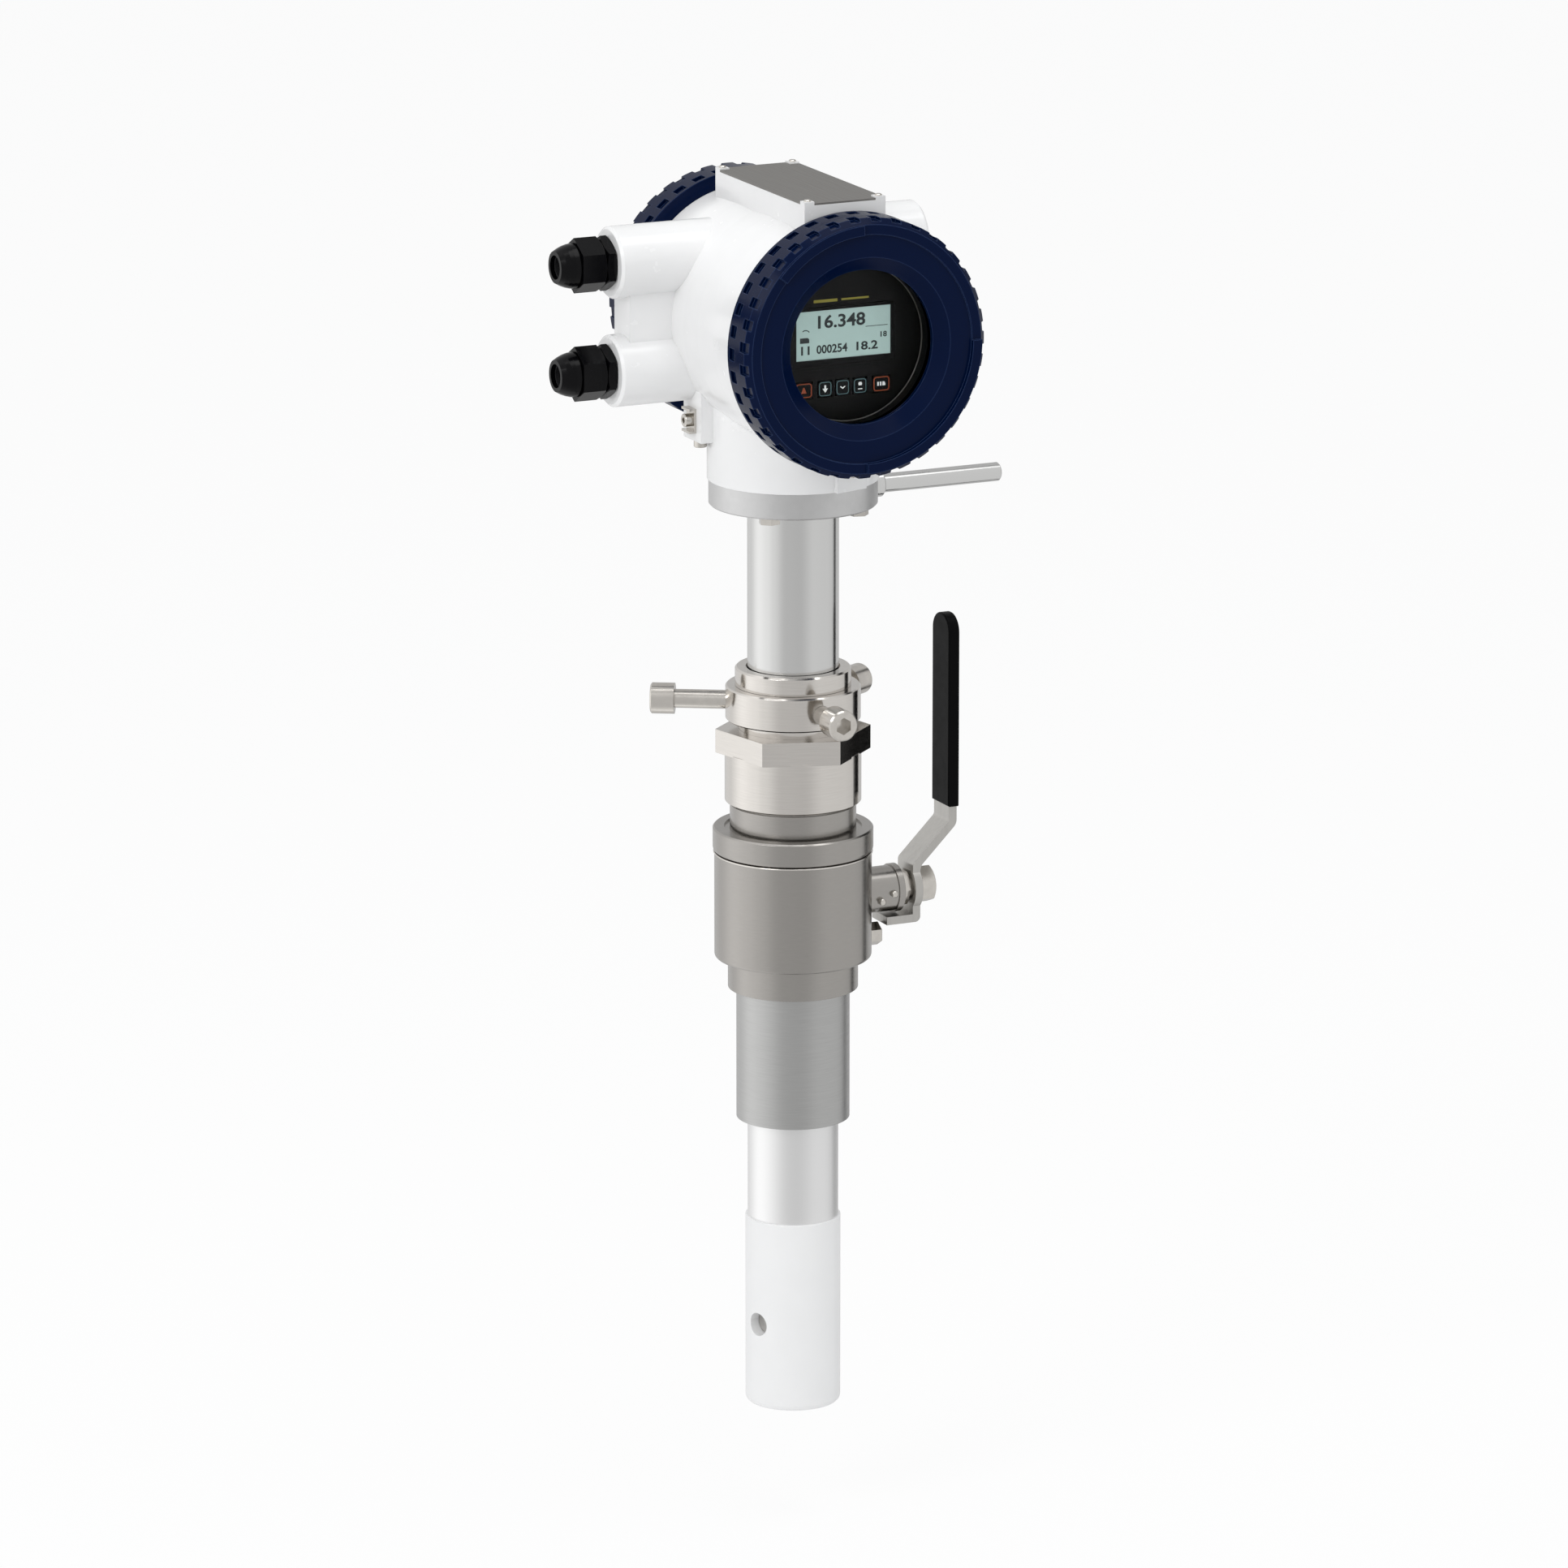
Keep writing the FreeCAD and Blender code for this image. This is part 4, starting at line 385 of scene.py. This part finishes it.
def stem_metal(name):
    """Polished tube whose wetted lower run is paler and more matt."""
    polished = linear("CECECD")
    made = Material(name, polished, STEM_POLISHED_ROUGHNESS, 1.0)
    marks = made.noise(STEM_MARKS, 4.0, TURNED)
    polish = made.spread(made.coordinates("Object")[2], STEM_PALE, STEM_POLISHED)
    uneven = made.spread(marks, NOISE_LOW, NOISE_HIGH, -STEM_UNEVEN, STEM_UNEVEN)
    made.colour(made.maths("ADD", polish, uneven), linear("E9E9E9"), polished, 0.0, 1.0)
    smoother = made.maths("MULTIPLY", polish, STEM_PALE_ROUGHNESS - STEM_POLISHED_ROUGHNESS)
    made.set({"Roughness": made.maths("SUBTRACT", STEM_PALE_ROUGHNESS, smoother)})
    made.bump(marks, STEM_GROOVES, FINE_RELIEF, METAL_EDGE)
    return made.material


def painted(name, text, roughness, grain, coat=0.0, shine=0.5, barrel=False, highlight_colour=None):
    """Sprayed paint with a faint orange peel and cloudiness, and a painted highlight along its edges when a
    highlight colour is given.
    """
    base = linear(text)
    made = Material(name, base, roughness)
    made.set({"Coat Weight": coat, "Coat Roughness": 0.08, "Specular IOR Level": shine})
    made.colour(made.noise(PAINT_CLOUDS), shade(base, 0.97), shade(base, 1.02))
    made.uneven_gloss(made.noise(PAINT_SHEEN), roughness, PLAIN_UNEVEN)
    made.bump(made.noise(grain, 2.0), ORANGE_PEEL, PAINT_RELIEF, PAINT_EDGE, barrel)
    # Painted highlight along the edges, in the given lighter colour.
    if highlight_colour:
        made.painted_edge_highlight(linear(highlight_colour))
    return made.material


def moulded(name, text, roughness, grain=1500.0, depth=0.1, contrast=0.08, shine=0.5):
    """Moulded plastic or rubber with a fine spark grain."""
    base = linear(text)
    made = Material(name, base, roughness)
    made.set({"Specular IOR Level": shine})
    made.colour(made.noise(PLASTIC_CLOUDS, 4.0), shade(base, 1 - contrast), shade(base, 1 + contrast))
    made.uneven_gloss(made.noise(PLASTIC_SHEEN), roughness, PLAIN_UNEVEN)
    made.bump(made.noise(grain, 2.0), depth, FINE_RELIEF, PLASTIC_EDGE)
    return made.material


def lit(name, text, glow):
    """A print or screen with a faint glow of painted light, though it is no lamp."""
    base = linear(text)
    made = Material(name, base, 0.5)
    made.colour(made.noise(PRINT_CLOUDS, 2.0), shade(base, 0.96), shade(base, 1.03))
    made.set({"Emission Color": base, "Emission Strength": glow})
    return made.material


def clear_glass(name):
    """Thin window glass that hardly bends the view."""
    made = Material(name, WHITE, 0.015)
    made.set({"Transmission Weight": 1.0, "IOR": 1.07})
    made.gloss(made.noise(GLASS_HAZE, 2.0), 0.008, 0.03)
    return made.material


# A finish for each material slot of the record
finishes = {
    "satin_steel": metal("pipe satin steel", "B2B2B1", 0.34, TURNED, 40.0, 0.04, 0.08),
    "valve_steel": metal("brushed valve steel", "A29F9B", 0.24, TURNED, 110.0, 0.035, 0.03),
    "stem_steel": stem_metal("polished stem steel"),
    "bright_nickel": metal("nickel plated steel", "CFCBC6", 0.14, TURNED, 30.0, 0.03, 0.04),
    "ball_steel": metal("ground ball steel", "D0D0D0", 0.10, EVEN, 200.0, 0.02, 0.03),
    "screw_steel": metal("plated screw steel", "C9C5BF", 0.20, EVEN, 160.0, 0.06, 0.08),
    "lever_steel": metal("zinc plated lever", "B9B7B3", 0.36, BRUSHED_LEVER, 60.0, 0.05, 0.08),
    "electrode_steel": metal("electrode steel", "C4C2BF", 0.3, EVEN, 200.0, 0.05, 0.05),
    "coil_copper": metal("coil copper", "B8683C", 0.35, WOUND, 60.0, 0.15, 0.3),
    "brass": metal("turned brass", "C9A35A", 0.25, TURNED, 60.0, 0.06, 0.1),
    "plate_metal": metal("nameplate metal", "878582", 0.5, BRUSHED_PLATE, 60.0, 0.02, 0.04),
    "flange_grey": metal("satin cast flange", "C8C8C8", 0.42, EVEN, 240.0, 0.02, 0.05),
    "white_paint": painted("white head paint", "EFEFEF", 0.24, 420.0, coat=0.35, barrel=True),
    # The navy cover's edges get a painted highlight in a lighter navy.
    "navy_paint": painted("navy cover paint", "000F30", 0.21, 380.0, shine=0.07, highlight_colour="42557F"),
    "sleeve_plastic": moulded("white sleeve plastic", "F0F0F0", 0.42, 900.0, 0.05, 0.01),
    "grip_vinyl": moulded("black grip vinyl", "070708", 0.36, 1800.0, 0.12, shine=0.045),
    "gland_black": moulded("black gland nylon", "050507", 0.2, 1500.0, 0.06, shine=0.13),
    "seal_rubber": moulded("seal rubber", "17171A", 0.6, 1400.0, 0.2),
    "packing": moulded("packing rings", "3A3833", 0.7, 700.0, 0.4),
    "seat_plastic": moulded("ball seat plastic", "E4E2DC", 0.4),
    "black_panel": moulded("black display panel", "0D0E0F", 0.4, 1600.0, 0.01, shine=0.12),
    "key_dark": moulded("dark key", "101416", 0.4, 1600.0, 0.01, shine=0.12),
    "board_green": moulded("circuit board", "1D5A3B", 0.4, 300.0, 0.15),
    "terminal_grey": moulded("terminal block", "7D8287", 0.5, 1200.0, 0.1),
    # The display face gets a faint painted glow.
    "lcd_face": lit("display face", "97AFAB", 0.44),
    "window_glass": clear_glass("window glass"),
}

for subpart in frame["record"]["subparts"]:
    node = frame["nodes"][subpart["node"]]
    for held in node.material_slots:
        held.material = finishes[subpart["material_slot"]]
    if not node.material_slots:
        node.data.materials.append(finishes[subpart["material_slot"]])

ink_dark = lit("display ink", "1F2A2C", 0.0)
# These prints get a faint painted glow; the display ink has none.
ink_white = lit("white key print", "E6EBEA", 0.25)
ink_teal = lit("teal key print", "5A7C80", 0.08)
ink_orange = lit("orange key print", "9C4A28", 0.15)
ink_yellow = lit("yellow panel print", "8A8328", 0.12)
grey_edge = metal("grey ring edge", "6A6A66", 0.4, EVEN, 200.0, 0.04, 0.02)


def finished(piece, body, material=None):
    """Links the piece, gives it its material and puts it on its body."""
    if piece.name not in bpy.context.scene.collection.objects:
        bpy.context.scene.collection.objects.link(piece)
    if material:
        piece.data.materials.append(material)
    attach(piece, body)


def arc_points(x, z, radius, start, end, steps):
    """Points (x, z) round an arc, from one angle in degrees to another."""
    points = []
    for step in range(steps + 1):
        angle = math.radians(start + (end - start) * step / steps)
        points.append((x + radius * math.cos(angle), z + radius * math.sin(angle)))
    return points


def box_outline(low_x, low_z, high_x, high_z):
    """Corners of a rectangle, as points (x, z)."""
    return [(low_x, low_z), (high_x, low_z), (high_x, high_z), (low_x, high_z)]


def rounded_loop(low_x, low_z, high_x, high_z, corner):
    """Closed outline of a rectangle with round corners, as points (x, z)."""
    centres = (
        (high_x - corner, high_z - corner),
        (low_x + corner, high_z - corner),
        (low_x + corner, low_z + corner),
        (high_x - corner, low_z + corner),
    )
    points = []
    for quarter, (x, z) in enumerate(centres):
        points += arc_points(x, z, corner, 90 * quarter, 90 * quarter + 90, CORNER_STEPS)
    return points + points[:1]


def round_line(name, line, radius, fineness=1):
    """A round line through points (x, y, z), closed where the last is the first."""
    curve = bpy.data.curves.new(name, "CURVE")
    curve.dimensions = "3D"
    curve.bevel_depth = radius
    curve.bevel_resolution = fineness
    curve.use_fill_caps = True
    closed = line[0] == line[-1]
    points = line[:-1] if closed else line
    spline = curve.splines.new("POLY")
    spline.points.add(len(points) - 1)
    for point, place in zip(spline.points, points):
        point.co = (*place, 1.0)
    spline.use_cyclic_u = closed
    return bpy.data.objects.new(name, curve)


def face_line(name, body, line, front, material, radius):
    """A round line on a face that looks to -Y, from its points (x, z)."""
    finished(round_line(name, [(x, front, z) for x, z in line], radius), body, material)


def mesh_piece(name, points, faces):
    """An object of these points and faces."""
    mesh = bpy.data.meshes.new(name)
    mesh.from_pydata(points, [], faces)
    mesh.update()
    return bpy.data.objects.new(name, mesh)


def face_plate(name, body, outline, front, material):
    """A plate as thick as the print that faces -Y, from its outline of (x, z)."""
    count = len(outline)
    points = [(x, front + depth, z) for depth in (0, PRINT_HEIGHT) for x, z in outline]
    sides = [(i, (i + 1) % count, count + (i + 1) % count, count + i) for i in range(count)]
    faces = [tuple(range(count))[::-1], tuple(range(count, 2 * count)), *sides]
    finished(mesh_piece(name, points, faces), body, material)


def screen_text(name, text, left, base, wide, high):
    """Numbers on the screen, from left to left + wide and from base to base + high."""
    curve = bpy.data.curves.new(name, "FONT")
    curve.body = text
    curve.size = 1.0
    curve.offset = TEXT_WEIGHT
    curve.resolution_u = 3
    piece = bpy.data.objects.new(name, curve)
    bpy.context.scene.collection.objects.link(piece)
    bpy.context.view_layer.update()
    low = Vector(piece.bound_box[0])
    size = Vector(piece.bound_box[6]) - low
    curve.extrude = PRINT_HEIGHT / 2
    piece.matrix_world = (
        Matrix.Translation((left, SCREEN_FRONT, base))
        @ Matrix.Rotation(math.radians(90), 4, "X")
        @ Matrix.Diagonal((wide / size.x, high / size.y, 1.0, 1.0))
        @ Matrix.Translation((-low.x, -low.y, 0))
    )
    finished(piece, "probe", ink_dark)


def screen_print():
    """Numbers and marks on the screen. The photo's own characters can't be read beyond the number."""
    left, base = SCREEN_LEFT, SCREEN_BASE
    for name, text, start, under, wide, high in SCREEN_TEXTS:
        screen_text(name, text, left + start, base + under, wide, high)
    front = SCREEN_FRONT - PRINT_HEIGHT / 2
    block = [(left + x, base + z) for x, z in SCREEN_BLOCK]
    face_plate("screen_block_mark", "probe", block, front, ink_dark)
    bar = [(left + x, base + z) for x, z in box_outline(*SCREEN_BAR)]
    face_plate("screen_line_mark", "probe", bar, front, ink_dark)
    bow = [(left + x, base + z) for x, z in arc_points(*SCREEN_BOW, *BOW_ANGLES, BOW_STEPS)]
    face_line("screen_bow_mark", "probe", bow, SCREEN_FRONT, ink_dark, BOW_LINE)


def panel_print():
    """Two thin yellow bars above the screen and a slim bezel round it."""
    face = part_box("display_panel")[0].y
    left, top = SCREEN_LEFT, SCREEN_BASE + SCREEN_HIGH
    for name, start, under, end, over in PANEL_BARS:
        outline = box_outline(left + start, top + under, left + end, top + over)
        face_plate(name, "probe", outline, face - PRINT_HEIGHT, ink_yellow)
    to_left, below, to_right, above = BEZEL_OUT
    right = left + SCREEN_WIDE + to_right
    loop = rounded_loop(left - to_left, SCREEN_BASE - below, right, top + above, BEZEL_CORNER)
    face_line("panel_bezel", "probe", loop, face, finishes["black_panel"], BEZEL_LINE)


# Each key's ink and marks, as outlines of (x, z) in millimetres from the key's middle
KEY_MARKS = {
    1: (ink_orange, [[(-1.5, -1.4), (1.5, -1.4), (0.3, 1.7), (-0.3, 1.7)]]),
    2: (ink_white, [
        [(-0.5, 2.0), (-0.5, 0.2), (-1.5, 0.2), (0.0, -2.0), (1.5, 0.2), (0.5, 0.2), (0.5, 2.0)],
    ]),
    3: (ink_white, [
        [(-1.6, 0.5), (-0.2, -0.7), (0.2, -0.7), (1.6, 0.5), (1.0, 0.7), (0.0, -0.1), (-1.0, 0.7)],
    ]),
    4: (ink_white, [
        [(-0.8, 0.2), (0.8, 0.2), (1.1, 1.2), (0.6, 2.0), (-0.6, 2.0), (-1.1, 1.2)],
        box_outline(-1.2, -1.9, 1.2, -1.4),
    ]),
    5: (ink_white, [
        box_outline(-2.4, -1.0, -1.5, 1.1),
        box_outline(-0.9, -1.0, 0.0, 1.1),
        [(0.6, -1.0), (2.2, -1.0), (2.2, 0.2), (1.6, 1.1), (0.6, 1.1)],
    ]),
}


def key_print():
    """Outline and plain marks of each key."""
    for index, (mark_ink, marks) in KEY_MARKS.items():
        low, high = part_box(f"key_{index}")
        body = f"button_{index}"
        outer = index in (1, 5)
        ink = ink_orange if outer else ink_teal
        line = OUTER_KEY_LINE if outer else KEY_LINE
        ends = (low.x + KEY_INSET, low.z + KEY_INSET, high.x - KEY_INSET, high.z - KEY_INSET)
        loop = rounded_loop(*ends, KEY_CORNER)
        face_line(f"key_{index}_outline", body, loop, low.y, ink, line)
        middle, level = (low.x + high.x) / 2, (low.z + high.z) / 2
        for part, points in enumerate(marks):
            outline = [(middle + x / 1000, level + z / 1000) for x, z in points]
            front = low.y - PRINT_HEIGHT
            face_plate(f"key_{index}_mark_{part}", body, outline, front, mark_ink)


def ring_points(x, z, radius):
    """Closed circle of points (x, z)."""
    points = arc_points(x, z, radius, 0, 360, RING_STEPS)
    return points[:-1] + points[:1]


def window_ring():
    """A thin grey metal line round the back of the ring that holds the glass."""
    low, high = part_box("window_retainer")
    loop = ring_points(0.0, HEAD_LEVEL, (high.x - low.x) / 2 - RING_INSET)
    front = high.y - RING_RADIUS
    face_line("window_ring_edge", "front_lid", loop, front, grey_edge, RING_RADIUS)


def neck_set_screw():
    """Cap screw with a round recess on the raised flat of the neck."""
    turn = math.radians(NECK_FLAT_TURN)
    out = Vector((math.cos(turn), -math.sin(turn), 0))
    across = Vector((math.sin(turn), math.cos(turn), 0))
    up = Vector((0, 0, 1))
    middle = out * NECK_FLAT_OUT + up * NECK_SCREW_LEVEL
    steps = SET_SCREW_STEPS
    points = []
    for height, radius in SET_SCREW_OUTLINE:
        for step in range(steps):
            angle = 2 * math.pi * step / steps
            points.append(middle + out * height + (across * math.cos(angle) + up * math.sin(angle)) * radius)
    faces = []
    for row in range(0, steps * (len(SET_SCREW_OUTLINE) - 1), steps):
        for step in range(steps):
            after = (step + 1) % steps
            faces.append((row + step, row + after, row + steps + after, row + steps + step))
    piece = mesh_piece("neck_set_screw", points, faces)
    finished(piece, "probe", finishes["screw_steel"])


def cap_joint():
    """The bright turned edge where the valve's end cap meets its body."""
    low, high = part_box("valve_end_cap")
    level = high.z - CAP_EDGE_DROP
    circle = ring_points(0.0, 0.0, (high.x - low.x) / 2 - CAP_EDGE_INSET)
    piece = round_line("cap_joint_edge", [(x, y, level) for x, y in circle], CAP_EDGE_RADIUS, 2)
    finished(piece, "valve", finishes["bright_nickel"])


def pale_floor():
    """A floor that keeps the object's shadow and shows the cards to polished surfaces."""
    level = cad_low.z - FLOOR_DROP
    corners = box_outline(-FLOOR_HALF, -FLOOR_HALF, FLOOR_HALF, FLOOR_HALF)
    floor = mesh_piece("floor", [(x, y, level) for x, y in corners], [(0, 1, 2, 3)])
    bpy.context.scene.collection.objects.link(floor)
    made = Material("pale floor", FLOOR_COLOUR, 0.7)
    made.gloss(made.noise(FLOOR_CLOUDS, 2.0), 0.65, 0.75)
    rays = made.node("ShaderNodeLightPath").outputs
    x, y, _ = made.coordinates("Object")
    white = made.node("ShaderNodeEmission").outputs[0]
    light = {"Color": made.cards(x, y), "Strength": CARD_LIGHT}
    cards = made.node("ShaderNodeEmission", light).outputs[0]
    seen = made.maths("MULTIPLY", rays["Is Camera Ray"], FLOOR_WHITE)
    shown = made.mixed(seen, made.shader.outputs[0], white)
    shown = made.mixed(rays["Is Glossy Ray"], shown, cards)
    made.feed(made.tree.nodes["Material Output"].inputs["Surface"], shown)
    floor.data.materials.append(made.material)


def studio_world():
    """White to the camera and through glass, even light to matt surfaces, and cards to polished ones."""
    world = bpy.data.worlds.new("studio")
    bpy.context.scene.world = world
    world.use_nodes = True
    made = Nodes(world.node_tree)
    made.tree.nodes.clear()
    rays = made.node("ShaderNodeLightPath").outputs
    x, y, _ = made.coordinates("Generated")
    white, matt, polished = (
        made.node("ShaderNodeBackground", {"Color": colour, "Strength": strength}).outputs[0]
        for colour, strength in ((WHITE, 1.0), (MATT_COLOUR, MATT_LIGHT), (made.cards(x, y), CARD_LIGHT))
    )
    shown = made.mixed(rays["Is Glossy Ray"], matt, polished)
    shown = made.mixed(rays["Is Transmission Ray"], shown, white)
    shown = made.mixed(rays["Is Camera Ray"], shown, white)
    made.node("ShaderNodeOutputWorld", {"Surface": shown})


def square_lamp(name, place, side, power):
    """A square lamp that looks at the middle of the object."""
    data = bpy.data.lights.new(name, "AREA")
    data.shape = "RECTANGLE"
    data.size = side
    data.size_y = side
    data.energy = power
    lamp = bpy.data.objects.new(name, data)
    bpy.context.scene.collection.objects.link(lamp)
    aim = (LAMP_TARGET - place).to_track_quat("-Z", "Y")
    lamp.matrix_world = Matrix.Translation(place) @ aim.to_matrix().to_4x4()


def photo_camera():
    """The camera at the photo's angle, upright."""
    data = bpy.data.cameras.new("camera")
    data.lens = LENS
    data.sensor_width = SENSOR
    data.clip_end = CAMERA_REACH
    camera = bpy.data.objects.new("camera", data)
    bpy.context.scene.collection.objects.link(camera)
    back = -CAMERA_LOOK.normalized()
    right = Vector((0, 0, 1)).cross(back).normalized()
    turn = Matrix((right, back.cross(right), back)).transposed().to_4x4()
    camera.matrix_world = Matrix.Translation(CAMERA_PLACE) @ turn
    bpy.context.scene.camera = camera


screen_print()
panel_print()
key_print()
window_ring()
neck_set_screw()
cap_joint()
pale_floor()
studio_world()
for name, place, side, power in LAMPS:
    square_lamp(name, place, side, power)
photo_camera()
bpy.context.scene.view_settings.view_transform = "Standard"
